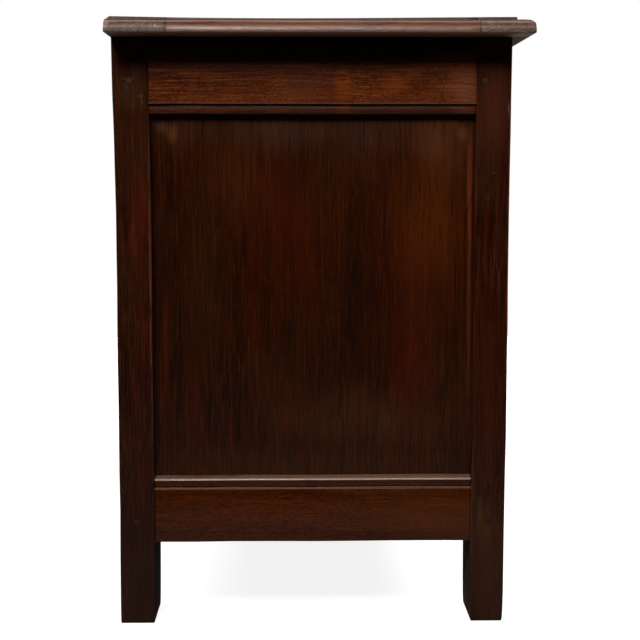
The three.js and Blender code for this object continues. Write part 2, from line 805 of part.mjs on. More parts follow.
for (const endName of ['left', 'right']) {
  for (const sideName of ['front', 'back']) {
    add(`${sideName}_${endName}_stile`, stile(endName, sideName), oak.dark);
    for (const level of ['top', 'bottom']) {
      const peg = pegRod(endName === 'left' ? -1 : 1, sideName, level, pegRadius, 0);
      add(`${sideName}_${endName}_${level}_peg`, peg, oak.mid);
    }
  }
  add(`${endName}_top_rail`, rail(endName, 'top'), oak.warm);
  add(`${endName}_bottom_rail`, rail(endName, 'bottom'), oak.mid);
  add(`${endName}_panel`, panel(endName, [-innerSideY, innerSideY]), oak.dark);
}

for (const sideName of ['front', 'back']) {
  let topRail = rail(sideName, 'top');
  if (sideName === 'front') {
    topRail = topRail.subtract(keyhole(-sideY - overrun, -sideY + railThickness + overrun));
  } else {
    for (const centre of Object.values(hingeCentres)) {
      topRail = topRail.subtract(barrelNotch(centre)).subtract(plateRecess(centre));
    }
  }
  add(`${sideName}_top_rail`, topRail, oak.warm);
  add(`${sideName}_bottom_rail`, rail(sideName, 'bottom'), oak.mid);
  const centres = muntinCentres();
  centres.forEach((centre, index) => {
    add(`${sideName}_muntin_${index + 1}`, muntin(sideName, centre), oak.dark);
  });
  const sightEdges = [-innerEndX, ...centres.flatMap((c) => [c - muntinWidth / 2, c + muntinWidth / 2]), innerEndX];
  for (let index = 0; index < longSidePanels; index += 1) {
    const along = [sightEdges[2 * index], sightEdges[2 * index + 1]];
    add(`${sideName}_panel_${index + 1}`, panel(sideName, along), oak.mid);
  }
}

for (let index = 0; index < floorBoards; index += 1) {
  add(`floor_board_${index + 1}`, floorBoard(index), oak.plain);
}

const envelope = lidEnvelope();
add('lid_front_rail', lidLongRail(-1, envelope).subtract(staplePlateRecess()), oak.mid);
let lidBackRail = lidLongRail(1, envelope);
for (const centre of Object.values(hingeCentres)) {
  lidBackRail = lidBackRail.subtract(barrelNotch(centre)).subtract(strapRecess(centre));
}
add('lid_back_rail', lidBackRail, oak.mid);
const bars = lidBars();
for (const bar of bars) {
  add(bar.name, lidBar(bar, envelope), oak.mid);
}
for (let index = 0; index < lidPanels; index += 1) {
  add(`lid_panel_${index + 1}`, lidPanel(bars[index].to, bars[index + 1].from), oak.mid);
}

for (const [name, centre] of Object.entries(hingeCentres)) {
  add(`${name}_hinge_strap`, hingeStrap(centre), iron, true);
  add(`${name}_hinge_plate`, hingePlate(centre), iron, true);
  add(`${name}_hinge_pin`, hingePin(centre), iron, true);
}

add('lock_case', lockCase(), iron, true);
add('lock_bolt', lockBolt(), iron, true);
add('lid_staple', lidStaple(), iron, true);
add('escutcheon', escutcheon(), iron, true);
add('key', key(), iron, true);

// The origin is on the ground under the middle of the whole chest, overhangs and hinges included
chest.position.set(0, centreShiftY, 0);

export default chest;
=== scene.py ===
import json
import math
import random

import bmesh
import bpy
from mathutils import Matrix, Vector

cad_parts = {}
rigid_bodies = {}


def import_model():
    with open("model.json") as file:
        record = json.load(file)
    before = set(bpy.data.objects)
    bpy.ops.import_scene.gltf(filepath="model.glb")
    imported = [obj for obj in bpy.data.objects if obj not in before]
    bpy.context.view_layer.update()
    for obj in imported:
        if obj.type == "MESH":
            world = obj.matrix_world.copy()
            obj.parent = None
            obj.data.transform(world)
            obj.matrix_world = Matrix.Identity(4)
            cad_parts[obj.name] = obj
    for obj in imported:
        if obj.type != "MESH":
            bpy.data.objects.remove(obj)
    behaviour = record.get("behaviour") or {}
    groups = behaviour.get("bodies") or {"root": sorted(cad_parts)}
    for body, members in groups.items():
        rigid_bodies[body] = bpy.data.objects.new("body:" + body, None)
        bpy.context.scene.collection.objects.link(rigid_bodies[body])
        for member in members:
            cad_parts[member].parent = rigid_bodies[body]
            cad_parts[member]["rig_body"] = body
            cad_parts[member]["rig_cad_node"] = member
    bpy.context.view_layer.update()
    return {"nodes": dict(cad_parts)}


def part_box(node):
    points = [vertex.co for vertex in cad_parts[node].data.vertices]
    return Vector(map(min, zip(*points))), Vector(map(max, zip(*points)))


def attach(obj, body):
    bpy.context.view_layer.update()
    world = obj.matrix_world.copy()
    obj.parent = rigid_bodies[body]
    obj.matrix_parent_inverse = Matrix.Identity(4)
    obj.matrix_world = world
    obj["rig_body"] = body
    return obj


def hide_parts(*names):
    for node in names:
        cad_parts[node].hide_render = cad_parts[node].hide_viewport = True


# A joined oak coffer, dark with old polish. The camera looks square on at its left end. Lengths here
# are in metres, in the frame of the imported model: X along the chest, the front to -Y, Z up.

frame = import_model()

MM = 0.001
X, Y, Z = 0, 1, 2

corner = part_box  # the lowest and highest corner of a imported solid

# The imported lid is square. The moulded one stands a little over and before it, and less far back.
LID_RISE = 0.8 * MM
LID_REACH = 1.8 * MM
LID_SHY = 1.0 * MM

# Where the stiles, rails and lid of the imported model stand
END = corner("front_right_stile")[1].x
INNER_END = corner("front_right_stile")[0].x
FRONT = corner("front_left_stile")[0].y
INNER_FRONT = corner("front_left_stile")[1].y
BACK = corner("back_left_stile")[1].y
INNER_BACK = corner("back_left_stile")[0].y
BODY_TOP = corner("front_left_stile")[1].z
FOOT = corner("left_bottom_rail")[0].z
BOTTOM_SIGHT = corner("left_bottom_rail")[1].z
TOP_SIGHT = corner("left_top_rail")[0].z
RAIL_THICKNESS = corner("left_top_rail")[1].x + END
LID_LOW = corner("lid_front_rail")[0].z
LID_TOP = corner("lid_front_rail")[1].z + LID_RISE
LID_END = corner("lid_front_rail")[1].x
LID_FRONT = corner("lid_front_rail")[0].y - LID_REACH
LID_BACK = corner("lid_back_rail")[1].y - LID_SHY
LID_INNER_FRONT = corner("lid_front_rail")[1].y
LID_INNER_BACK = corner("lid_back_rail")[0].y
MIDDLE_Y = (FRONT + BACK) / 2

# Joinery
GAP = 0.3 * MM
CUTTER_SPARE = 2 * MM  # how far a cutter stands out of the wood that it cuts
RIPPLE = 0.3 * MM  # how far wood that was dressed by hand strays from straight
ARRIS = {  # how much is taken off the edges
    "rail": 0.55 * MM, "stile": 1.3 * MM, "muntin": 0.9 * MM, "board": 0.8 * MM, "lid": 0.4 * MM,
    "peg": 0.15 * MM, "iron": 0.3 * MM,
}
SHARP_ANGLE = 32  # degrees between two faces from which their edge counts as sharp

# The moulding of a rail: a slope, a quirk and a thumb down to the sight edge
QUIRK = 2.6 * MM
QUIRK_HEIGHT = 1.7 * MM
SLOPE_DEPTH = 0.8 * MM
SLOPE_HEIGHT = 3.4 * MM
THUMB_DEPTH = 3.8 * MM
THUMB_STEPS = 8
TOP_THUMB = {"reach": 12.6 * MM, "rise": 0.3 * MM, "thumb": 1.8 * MM}
BOTTOM_THUMB = {"reach": 13.4 * MM, "rise": 2.0 * MM, "thumb": 3.2 * MM}

# Panels, and the grooves that hold their tongues
PANEL_RECESS = 13 * MM
TONGUE_THICKNESS = 7 * MM
TONGUE_REACH = 8 * MM
PANEL_STEP = 2 * MM
FIELD_INSET = 3.5 * MM  # from the mouth of the groove to the thicker field
PANEL_BACK = PANEL_RECESS + TONGUE_THICKNESS
GROOVE_DEPTH = TONGUE_REACH + GAP
GROOVE_FRONT = PANEL_RECESS - GAP
GROOVE_BACK = PANEL_BACK + GAP
FLOOR_GROOVE = 7.7 * MM
BETWEEN_RAILS = 0.4  # a height between the bottom and the top rails

# Lid edge: a step, then a thumb with a flat shoulder and a nose, and the rounds behind and under
LID_STEP = 3.2 * MM
LID_FRONT_THUMB = {"width": 18 * MM, "flat": 7 * MM, "nose": 7 * MM}
LID_END_THUMB = {"width": 27 * MM, "flat": 2 * MM, "nose": 16.5 * MM}
LID_BACK_WIDTH = 4.8 * MM
LID_BACK_HEIGHT = 6.5 * MM
LID_UNDER = 1.1 * MM
LID_ROUND_STEPS = 10
LID_HOLLOW = 1.9 * MM
LID_GROOVE = 8.3 * MM

PEG_RADIUS = 4.2 * MM
PEG_HOLE = 4.28 * MM
PEG_SIDES = 9
PEG_PROUD = 0.1 * MM
PEG_LENGTH = 27 * MM
PEG_INSET = 17 * MM  # of the stiles' pegs from the end of the rails
PEG_OVER_SIGHT = 30 * MM  # of the muntins' pegs from the rails' sight edges
PEG_UNDER_SIGHT = 27 * MM

# How much of a foot's wear there is at each height
FOOT_WEAR = ((0.0, 1.0), (0.004, 0.62), (0.014, 0.35), (0.035, 0.12))

# How far the stiles of the photographed end have bent inward, at each height
BOWS = {
    "back_left": (
        (0, 0), (0.03, 0.4), (0.10, 1.4), (0.30, 1.7), (0.42, 2.4), (0.50, 2.9), (0.56, 2.2), (0.62, 0.9),
        (0.66, 0.2), (BODY_TOP, 0),
    ),
    "front_left": (
        (0, 0.8), (0.12, 1.3), (0.19, 0.8), (0.27, 0.3), (0.34, 0.6), (0.42, 1.1), (0.56, 1.1), (0.64, 0.3),
        (BODY_TOP, 0),
    ),
    "back_right": ((0, 0), (BODY_TOP, 0)),
    "front_right": ((0, 0), (0.3, 0.8), (BODY_TOP, 0)),
}

# How much broader than packed a stile is, across its end
BROADER = {"back_left": 1.0 * MM}

WALLS = {
    "front": {"face": FRONT, "inward": 1, "lies": X, "reach": (-INNER_END, INNER_END)},
    "back": {"face": BACK, "inward": -1, "lies": X, "reach": (-INNER_END, INNER_END)},
    "left": {"face": -END, "inward": 1, "lies": Y, "reach": (INNER_FRONT, INNER_BACK)},
    "right": {"face": END, "inward": -1, "lies": Y, "reach": (INNER_FRONT, INNER_BACK)},
}


def wall_point(wall, along, depth, z):
    """A point of a wall: how far along it, how deep behind its face, and how high."""
    across = wall["face"] + wall["inward"] * depth
    return Vector((along, across, z)) if wall["lies"] == X else Vector((across, along, z))


def wall_step(wall, along, inward, up):
    """A step taken at a wall: along it, into it, and up."""
    return wall_point({**wall, "face": 0}, along, inward, up)


# Bench tools: each one works on a mesh as it would be done by hand


def deselect():
    """Leaves nothing selected, in object mode."""
    if bpy.context.mode != "OBJECT":
        bpy.ops.object.mode_set(mode="OBJECT")
    bpy.ops.object.select_all(action="DESELECT")


def take(piece):
    """Makes a piece the only one in hand."""
    deselect()
    piece.select_set(True)
    bpy.context.view_layer.objects.active = piece


class Editing:
    """Edit mode on one piece, with selecting by place."""

    def __init__(self, piece, kind="VERT"):
        self.piece = piece
        self.kind = kind

    def __enter__(self):
        take(self.piece)
        bpy.ops.object.mode_set(mode="EDIT")
        bpy.ops.mesh.select_mode(type=self.kind)
        bpy.ops.mesh.select_all(action="DESELECT")
        return self

    def __exit__(self, *problem):
        bpy.ops.object.mode_set(mode="OBJECT")

    def pick(self, test):
        """Selects only what passes the test: a point, or a face's middle and normal."""
        bpy.ops.mesh.select_all(action="DESELECT")
        mesh = bmesh.from_edit_mesh(self.piece.data)
        if self.kind == "VERT":
            chosen = [v for v in mesh.verts if test(v.co)]
        else:
            chosen = [f for f in mesh.faces if test(f.calc_center_median(), f.normal)]
        for part in chosen:
            part.select_set(True)
        mesh.select_flush_mode()
        bmesh.update_edit_mesh(self.piece.data)
        return len(chosen)

    def all(self):
        bpy.ops.mesh.select_all(action="SELECT")


def shift(amount):
    """Moves what is selected."""
    bpy.ops.transform.translate(value=amount)


def fixed(piece, name):
    """Puts a new piece's place and size into its mesh."""
    piece.name = name
    piece.data.name = name
    take(piece)
    bpy.ops.object.transform_apply(location=True, rotation=True, scale=True)
    return piece


def block(name, low, high):
    """A squared block between two corners."""
    low, high = Vector(low), Vector(high)
    deselect()
    bpy.ops.mesh.primitive_cube_add(size=1, location=(low + high) / 2)
    piece = bpy.context.object
    piece.scale = high - low
    return fixed(piece, name)


def wall_block(name, wall, first, last):
    """A block between two points of a wall, each as how far along, how deep and how high."""
    first, last = wall_point(wall, *first), wall_point(wall, *last)
    return block(name, map(min, first, last), map(max, first, last))


def rod(name, start, end, radius, sides):
    """A round rod between two points."""
    start, end = Vector(start), Vector(end)
    deselect()
    bpy.ops.mesh.primitive_cylinder_add(vertices=sides, radius=radius, depth=(end - start).length)
    piece = bpy.context.object
    piece.location = (start + end) / 2
    piece.rotation_euler = (end - start).to_track_quat("Z", "Y").to_euler()
    return fixed(piece, name)


def drawn(name, points, run):
    """A section drawn point by point with the extrude tool, filled, and drawn out along a run."""
    deselect()
    bpy.ops.mesh.primitive_plane_add(size=MM, location=points[0])
    piece = fixed(bpy.context.object, name)
    with Editing(piece) as edit:
        edit.all()
        bpy.ops.mesh.merge(type="CENTER")
        for before, after in zip(points, points[1:]):
            bpy.ops.mesh.extrude_region_move(TRANSFORM_OT_translate={"value": after - before})
        edit.all()
        bpy.ops.mesh.edge_face_add()
        bpy.ops.mesh.extrude_region_move(TRANSFORM_OT_translate={"value": run})
        edit.all()
        bpy.ops.mesh.normals_make_consistent(inside=False)
    return piece


def use(piece, kind, **settings):
    """Adds a modifier with its settings and applies it."""
    take(piece)
    bpy.ops.object.modifier_add(type=kind)
    modifier = piece.modifiers[-1]
    for setting, value in settings.items():
        setattr(modifier, setting, value)
    bpy.ops.object.modifier_apply(modifier=modifier.name)


def ease(piece, width, segments=2, angle=SHARP_ANGLE):
    """Takes the sharpness off every arris."""
    use(
        piece, "BEVEL", width=width, segments=segments, limit_method="ANGLE",
        angle_limit=math.radians(angle), use_clamp_overlap=True, miter_outer="MITER_ARC",
    )


def joined(name, pieces):
    """Several pieces made one."""
    deselect()
    for piece in pieces:
        piece.select_set(True)
    bpy.context.view_layer.objects.active = pieces[0]
    if len(pieces) > 1:
        bpy.ops.object.join()
    pieces[0].name = name
    pieces[0].data.name = name
    return pieces[0]


def carve(piece, cutters, operation="DIFFERENCE"):
    """Cuts a piece with the shapes of others, which are used up."""
    cutter = joined("cutter", cutters)
    use(piece, "BOOLEAN", operation=operation, solver="EXACT", object=cutter)
    mesh = cutter.data
    bpy.data.objects.remove(cutter)
    bpy.data.meshes.remove(mesh)


def copy_of(piece, name):
    """A copy with its own mesh."""
    twin = piece.copy()
    twin.data = piece.data.copy()
    twin.name = name
    twin.data.name = name
    bpy.context.scene.collection.objects.link(twin)
    return twin


def cut_across(piece, axis, places):
    """Saw-like marks round a piece, square to an axis, that leave it whole."""
    normal = Vector((0, 0, 0))
    normal[axis] = 1
    with Editing(piece) as edit:
        for place in places:
            edit.all()
            bpy.ops.mesh.bisect(plane_co=normal * place, plane_no=normal, use_fill=False)


def level_with(axis, place, reach=0.01 * MM):
    """A test for points that stand at a place along an axis."""
    return lambda point: abs(point[axis] - place) < reach


def waver(piece, axis, places, reach=RIPPLE, flat=()):
    """Cuts a piece across and moves the cuts a little sideways, as wood dressed by hand has moved since."""
    cut_across(piece, axis, places)
    dice = random.Random(piece.name)
    with Editing(piece) as edit:
        for place in places:
            offset = Vector([dice.uniform(-reach, reach) for _ in range(3)])
            for still in (axis, *flat):
                offset[still] = 0
            if edit.pick(level_with(axis, place)):
                shift(offset)


def spaced(start, end, count):
    """Places between two ends, evenly spaced."""
    return [start + (end - start) * (step + 1) / (count + 1) for step in range(count)]


# The stage: camera, lamps, world and floor


def photo_camera():
    """The photograph's camera, worked out from the feet, rails and lid corners."""
    focal, across = 1317.5, 640
    away, aside, height = 1.566, 0.0204, 0.5465
    down, turn = 0.1102, 0.0188
    data = bpy.data.cameras.new("photo_camera")
    data.sensor_width = 36
    data.lens = focal * data.sensor_width / across
    camera = bpy.data.objects.new("photo_camera", data)
    camera.location = (-END - away, MIDDLE_Y + aside, height)
    camera.rotation_euler = (math.pi / 2 - down, 0, -math.pi / 2 - turn)
    bpy.context.scene.collection.objects.link(camera)
    bpy.context.scene.camera = camera


def lamp(name, target, azimuth, elevation, distance, wide, high, level):
    """A soft box. The azimuth is the side it stands on, from +X towards +Y, in degrees. At level 1 it
    lights a white card that faces it, at the target, to plain white."""
    data = bpy.data.lights.new(name, "AREA")
    data.shape = "RECTANGLE"
    data.size = wide
    data.size_y = high
    data.energy = level * (math.pi * distance) ** 2
    box = bpy.data.objects.new(name, data)
    turn, lift = math.radians(azimuth), math.radians(elevation)
    away = Vector((math.cos(lift) * math.cos(turn), math.cos(lift) * math.sin(turn), math.sin(lift)))
    box.location = Vector(target) + away * distance
    box.rotation_euler = away.to_track_quat("Z", "Y").to_euler()
    bpy.context.scene.collection.objects.link(box)


def studio_lamps():
    """Two soft boxes over the photographed end, and one for each other side."""
    end, middle = (-END, MIDDLE_Y, 0.68), BODY_TOP / 2
    lamp("end_lamp", end, 163, 43, 3.0, 1.5, 1.0, 1.12)
    lamp("strip_lamp", end, 181, 38, 3.0, 2.4, 0.6, 0.38)
    lamp("front_lamp", (0.2, FRONT, middle), -78, 38, 3.2, 1.0, 1.0, 0.95)
    lamp("back_lamp", (0.2, BACK, middle), 78, 38, 3.2, 1.0, 1.0, 0.95)
    lamp("right_lamp", (END, MIDDLE_Y, middle), -44, 30, 3.0, 0.8, 0.8, 1.4)


# Shader writing


class Wire:
    """A value on its way from one node to the next. Sums written with it add the Math nodes they need."""

    def __init__(self, kit, socket):
        self.kit = kit
        self.socket = socket

    def math(self, operation, *others):
        return self.kit.node("ShaderNodeMath", dict(enumerate((self, *others))), operation=operation)

    def beside(self, output):
        """Another output of the same node."""
        return Wire(self.kit, self.socket.node.outputs[output])

    def __add__(self, other):
        return self.math("ADD", other)

    __radd__ = __add__

    def __sub__(self, other):
        return self.math("SUBTRACT", other)

    def __rsub__(self, other):
        return self.kit.node("ShaderNodeMath", {0: other, 1: self}, operation="SUBTRACT")

    def __mul__(self, other):
        return self.math("MULTIPLY", other)

    __rmul__ = __mul__

    def __truediv__(self, other):
        return self.math("DIVIDE", other)

    def __abs__(self):
        return self.math("ABSOLUTE")

    def least(self, other):
        return self.math("MINIMUM", other)

    def most(self, other):
        return self.math("MAXIMUM", other)


class Kit:
    """A node tree, and the one way of adding to it."""

    def __init__(self, tree):
        self.tree = tree
        self.tree.nodes.clear()

    def node(self, kind, sockets=None, output=0, **settings):
        """Adds a node with its settings, and links its sockets or sets them."""
        made = self.tree.nodes.new(kind)
        for setting, value in settings.items():
            setattr(made, setting, value)
        for key, value in (sockets or {}).items():
            if isinstance(value, Wire):
                self.tree.links.new(value.socket, made.inputs[key])
            else:
                made.inputs[key].default_value = value
        return Wire(self, made.outputs[output]) if made.outputs else made

    def step(self, value, low, high):
        """Nought below low, one above high, and smooth between."""
        ends = {"Value": value, "From Min": low, "From Max": high}
        return self.node("ShaderNodeMapRange", ends, interpolation_type="SMOOTHSTEP")

    def mix(self, share, first, second):
        return self.node("ShaderNodeMix", {0: share, 6: first, 7: second}, 2, data_type="RGBA")

    def parts(self, vector):
        """The three numbers of a vector."""
        split = self.node("ShaderNodeSeparateXYZ", {"Vector": vector})
        return [split.beside(axis) for axis in (X, Y, Z)]

    def length(self, vector):
        return self.node("ShaderNodeVectorMath", {0: vector}, "Value", operation="LENGTH")

    def stretched(self, place, along, across, offset=(0, 0, 0)):
        """Pattern space for grain that runs along the first axis."""
        scale = along, across, across
        return self.node("ShaderNodeMapping", {"Vector": place, "Scale": scale, "Location": offset})

    def noise(self, place, detail=2.0, roughness=0.5, distortion=0.0):
        return self.node("ShaderNodeTexNoise", {
            "Vector": place, "Scale": 1.0, "Detail": detail, "Roughness": roughness, "Distortion": distortion,
        })

    def spot(self, place, at, size, soft, ragged):
        """One in the middle of an oval spot, nought outside it. The last value makes its outline ragged."""
        sockets = {"Vector": place, "Location": at, "Scale": size}
        near = self.node("ShaderNodeMapping", sockets, vector_type="TEXTURE")
        return 1 - self.step(self.length(near) + ragged, 1 - soft, 1)

    def rays(self):
        """Whether a ray is the camera's own, off polish, or through glass."""
        camera = self.node("ShaderNodeLightPath", {}, "Is Camera Ray")
        return camera, camera.beside("Is Glossy Ray"), camera.beside("Is Transmission Ray")


def new_material(name):
    material = bpy.data.materials.new(name)
    material.use_nodes = True
    return material, Kit(material.node_tree)


def paint(red, green, blue):
    """A colour as a screen's numbers give it, in the numbers that a shader takes."""
    def plain(value):
        share = value / 255
        return ((share + 0.055) / 1.055) ** 2.4 if share > 0.04045 else share / 12.92
    return plain(red), plain(green), plain(blue), 1.0


def studio_world():
    """White to the eye all round. In polish, white shows only where the picture's own background is,
    behind the chest, since the near side of the studio is dark."""
    world = bpy.data.worlds.new("studio")
    bpy.context.scene.world = world
    world.use_nodes = True
    kit = Kit(world.node_tree)
    camera, polish, glass = kit.rays()
    away, _, rise = kit.parts(kit.node("ShaderNodeTexCoord", {}, "Generated"))
    behind = kit.step(away, 0.80, 0.92) * (1 - kit.step(abs(rise), 0.10, 0.22))
    shown = camera.most(polish.most(glass) * behind)
    fill = 0.015
    light = {"Color": (1, 1, 1, 1), "Strength": shown * (1 - fill) + fill}
    kit.node("ShaderNodeOutputWorld", {"Surface": kit.node("ShaderNodeBackground", light)})


def studio_floor():
    """A pale floor: white to the eye and in polish, with the chest's faint shadow."""
    deselect()
    bpy.ops.mesh.primitive_circle_add(vertices=96, radius=2.4, fill_type="NGON")
    floor = fixed(bpy.context.object, "studio_floor")
    material, kit = new_material("pale_floor")
    camera, polish, glass = kit.rays()
    near = 1 - kit.step(kit.length(kit.node("ShaderNodeTexCoord", {}, "Object")), 0.85, 1.25)
    shown = camera.most(polish.most(glass) * near * 0.12)
    white = kit.node("ShaderNodeEmission", {"Color": (1, 1, 1, 1), "Strength": 0.88})
    pale = kit.node("ShaderNodeBsdfDiffuse", {"Color": (0.30, 0.30, 0.30, 1)})
    shade = kit.node("ShaderNodeBsdfDiffuse", {"Color": (0.09, 0.09, 0.09, 1)})
    seen = kit.node("ShaderNodeAddShader", {0: white, 1: pale})
    surface = kit.node("ShaderNodeMixShader", {0: shown, 1: shade, 2: seen})
    kit.node("ShaderNodeOutputMaterial", {"Surface": surface})
    floor.data.materials.append(material)


# Finishes


def look(dark, mid, light, patch, **more):
    """A tone of oak: its deep, middle and pale colours, the colour of its old polish, and how it varies."""
    tone = {
        "dark": paint(*dark), "mid": paint(*mid), "light": paint(*light), "patch": paint(*patch),
        "streaks": 0.5, "rays": 0.2, "patches": 0.6, "sway": 6 * MM, "worn": 0.3, "dirt": 0.5,
        "pores": (36, 1000), "pored": 0.45, "roughness": 0.20, "bump": 0.18 * MM, "rim": 0.0,
        "dusty": 0.0, "ends": paint(52, 30, 20), "specular": 0.2,
    }
    tone.update(more)
    return tone


TONES = {
    "stile": look((28, 4, 0), (46, 10, 0), (76, 36, 18), (42, 19, 4), dirt=0.0, patches=0.75, pored=0.62),
    "top_rail": look(
        (54, 16, 4), (84, 35, 11), (130, 68, 30), (98, 44, 10), streaks=0.6, sway=10 * MM, pores=(300, 900),
        pored=0.62, roughness=0.25,
    ),
    "rail": look(
        (46, 16, 5), (66, 26, 9), (92, 45, 19), (72, 32, 10), sway=10 * MM, pores=(300, 900), pored=0.55,
    ),
    "panel": look(
        (22, 5, 0), (44, 10, 0), (68, 28, 8), (42, 16, 2), streaks=0.6, pored=0.5, patches=0.8,
        roughness=0.17,
    ),
    "bottom_rail": look(
        (44, 12, 0), (64, 24, 2), (90, 44, 14), (55, 23, 2), pores=(200, 800), pored=0.5, dusty=0.8,
        roughness=0.17,
    ),
    "lid": look(
        (32, 13, 7), (50, 23, 13), (70, 40, 26), (56, 28, 15), roughness=0.33, worn=0.4, pores=(90, 800),
        rim=0.85, ends=paint(86, 71, 62), specular=0.30,
    ),
    "floor": look((62, 42, 26), (98, 70, 44), (132, 100, 70), (84, 64, 44), roughness=0.7, dirt=0.3),
    "peg": look(
        (26, 8, 3), (42, 14, 5), (62, 28, 13), (38, 18, 7), rays=0.0, dirt=0.0, ends=paint(50, 23, 13),
    ),
}
DRY_DEEP = paint(66, 44, 28)
DRY = paint(98, 70, 46)
# Near-black: dirt in pores, joints and holes, and painted shade in the shadow under the lid's overhang
GRIME_AND_SHADE_MARK = (9, 4, 2)
GRIME = paint(*GRIME_AND_SHADE_MARK)
WORN = paint(112, 76, 54)
RIM = paint(102, 67, 53)
# Painted light on the lid's underside near its edge
UNDERSIDE_PAINTED_LIGHT = paint(120, 90, 66)
FOOT_INSIDE = paint(34, 15, 5)
# Dust, with a painted sheen, on faces that lie upward
DUST_AND_SHEEN = paint(96, 72, 59)


def oak(name, box, grain, tone, marks=(), dry=(), foot=None):
    """Oiled and waxed oak. The pattern is centred on the piece and runs along its grain."""
    material, kit = new_material(name)
    low, high = box
    centre, half = (low + high) / 2, (high - low) / 2
    dice = random.Random(name)
    seeds = [tuple(dice.uniform(-40, 40) for _ in range(3)) for _ in range(10)]
    place = kit.node("ShaderNodeTexCoord", {}, "Object")
    normal = kit.parts(place.beside("Normal"))
    local = kit.parts(kit.node("ShaderNodeMapping", {"Vector": place, "Location": -centre}))
    order = [grain] + [axis for axis in (X, Y, Z) if axis != grain]
    straight = kit.node("ShaderNodeCombineXYZ", {slot: local[axis] for slot, axis in enumerate(order)})

    # The grain sways a little on its way along the piece
    drift = kit.noise(kit.stretched(straight, 5, 9, seeds[0]), 2.0)
    amount = (drift - 0.5) * (2 * tone["sway"])
    woven = kit.node("ShaderNodeCombineXYZ", {
        0: local[order[0]], 1: local[order[1]] + amount, 2: local[order[2]] + amount,
    })
    rings = kit.noise(kit.stretched(woven, 2.2, 60, seeds[1]), 3.0, 0.6)
    fibres = kit.noise(kit.stretched(woven, 9, 420, seeds[2]), 3.0, 0.65)
    threads = kit.noise(kit.stretched(woven, 22, 1100, seeds[7]), 2.0, 0.6)
    pores = kit.noise(kit.stretched(woven, *tone["pores"], seeds[3]), 1.0)
    polish = kit.noise(kit.stretched(straight, 6, 15, seeds[4]), 4.0, 0.6)
    tint = kit.noise(kit.stretched(straight, 4, 11, seeds[8]), 3.0, 0.55)
    flecks = kit.noise(kit.stretched(woven, 75, 330, seeds[5]), 2.0, 0.55, 0.4)
    planed = kit.noise(kit.stretched(straight, 6, 40, seeds[6]), 1.0)

    line = kit.step(fibres, 0.52, 0.68)
    thread = kit.step(threads, 0.46, 0.68)
    pore = kit.step(pores, 0.48, 0.62)
    ray = kit.step(flecks, 0.56, 0.68)

    colour = kit.mix(kit.step(rings, 0.34, 0.64), tone["dark"], tone["mid"])
    colour = kit.mix(kit.step(polish, 0.42, 0.66) * tone["patches"], colour, tone["patch"])
    colour = kit.mix(kit.step(tint, 0.46, 0.66) * tone["patches"] * 0.8, colour, tone["dark"])
    colour = kit.mix(line * tone["streaks"] * 0.7, colour, tone["light"])
    colour = kit.mix(thread * tone["streaks"] * 0.6, colour, tone["light"])
    colour = kit.mix(ray * tone["rays"] * 0.6, colour, tone["light"])

    # The lid's rim has lost its polish
    if tone["rim"]:
        far = (LID_END - abs(local[X] + centre.x)).least(local[Y] + (centre.y - LID_FRONT))
        far = far.least(LID_BACK - (local[Y] + centre.y))
        rim = 1 - kit.step(far + (polish - 0.5) * 0.03, 8 * MM, 24 * MM)
        colour = kit.mix(rim * tone["rim"], colour, kit.mix(line * 0.7 + thread * 0.3, RIM, tone["mid"]))

    # End grain is rough and grey, and drinks dirt
    pits = {"Vector": place, "Scale": (430, 240, 640), "Location": seeds[9]}
    pits = kit.noise(kit.node("ShaderNodeMapping", pits), 3.0, 0.7)
    ends = kit.step(abs(normal[grain]), 0.35, 0.75)
    colour = kit.mix(ends, colour, kit.mix(kit.step(pits, 0.36, 0.62), tone["mid"], tone["ends"]))
    colour = kit.mix(pore * tone["pored"], colour, GRIME)

    # Distance in from the faces of the piece, for rubbed arrises and dirt at the joints
    inward = [half[axis] - abs(local[axis]) for axis in (X, Y, Z)]
    arris = inward[order[1]].most(inward[order[2]])
    rub = (1 - kit.step(arris, 0.4 * MM, 3.0 * MM)) * kit.step(polish, 0.34, 0.60)
    colour = kit.mix(rub * tone["worn"] * 0.5, colour, WORN)
    if tone["dirt"]:
        joint = 1 - kit.step(inward[order[0]], 0.3 * MM, 2.8 * MM)
        colour = kit.mix(joint * tone["dirt"] * (1 - ends), colour, GRIME)

    # Sides that the polish never reached, and painted light on the lid's underside near its edge
    if dry:
        inner = 1
        for axis, start, end in dry:
            inner = kit.step((local[axis] + (centre[axis] - start)) / (end - start), 0.0, 1.0).least(inner)
        bare = kit.mix(kit.step(rings, 0.3, 0.7) * 0.6 + line * 0.4, DRY_DEEP, DRY)
        bare = kit.mix(kit.step(polish, 0.45, 0.7) * 0.5 + pore * 0.3, bare, tone["patch"])
        colour = kit.mix(inner * 0.85, colour, bare)
    if tone["rim"]:
        downward = kit.step(-1 * normal[Z], 0.55, 0.9)
        near_rim = 1 - kit.step(far + (polish - 0.5) * 0.05, 20 * MM, 52 * MM)
        colour = kit.mix(downward * near_rim * (0.75 - line * 0.35), colour, UNDERSIDE_PAINTED_LIGHT)

    for mark in marks:
        shape = kit.spot(place, mark["at"], mark["size"], mark["soft"], (polish - 0.5) * mark["ragged"])
        broken = mark["broken"]
        if broken:
            shape = shape * kit.step(threads + (fibres - 0.5) * 0.6, broken, broken + 0.2)
        colour = kit.mix(shape * mark["share"], colour, paint(*mark["colour"]))

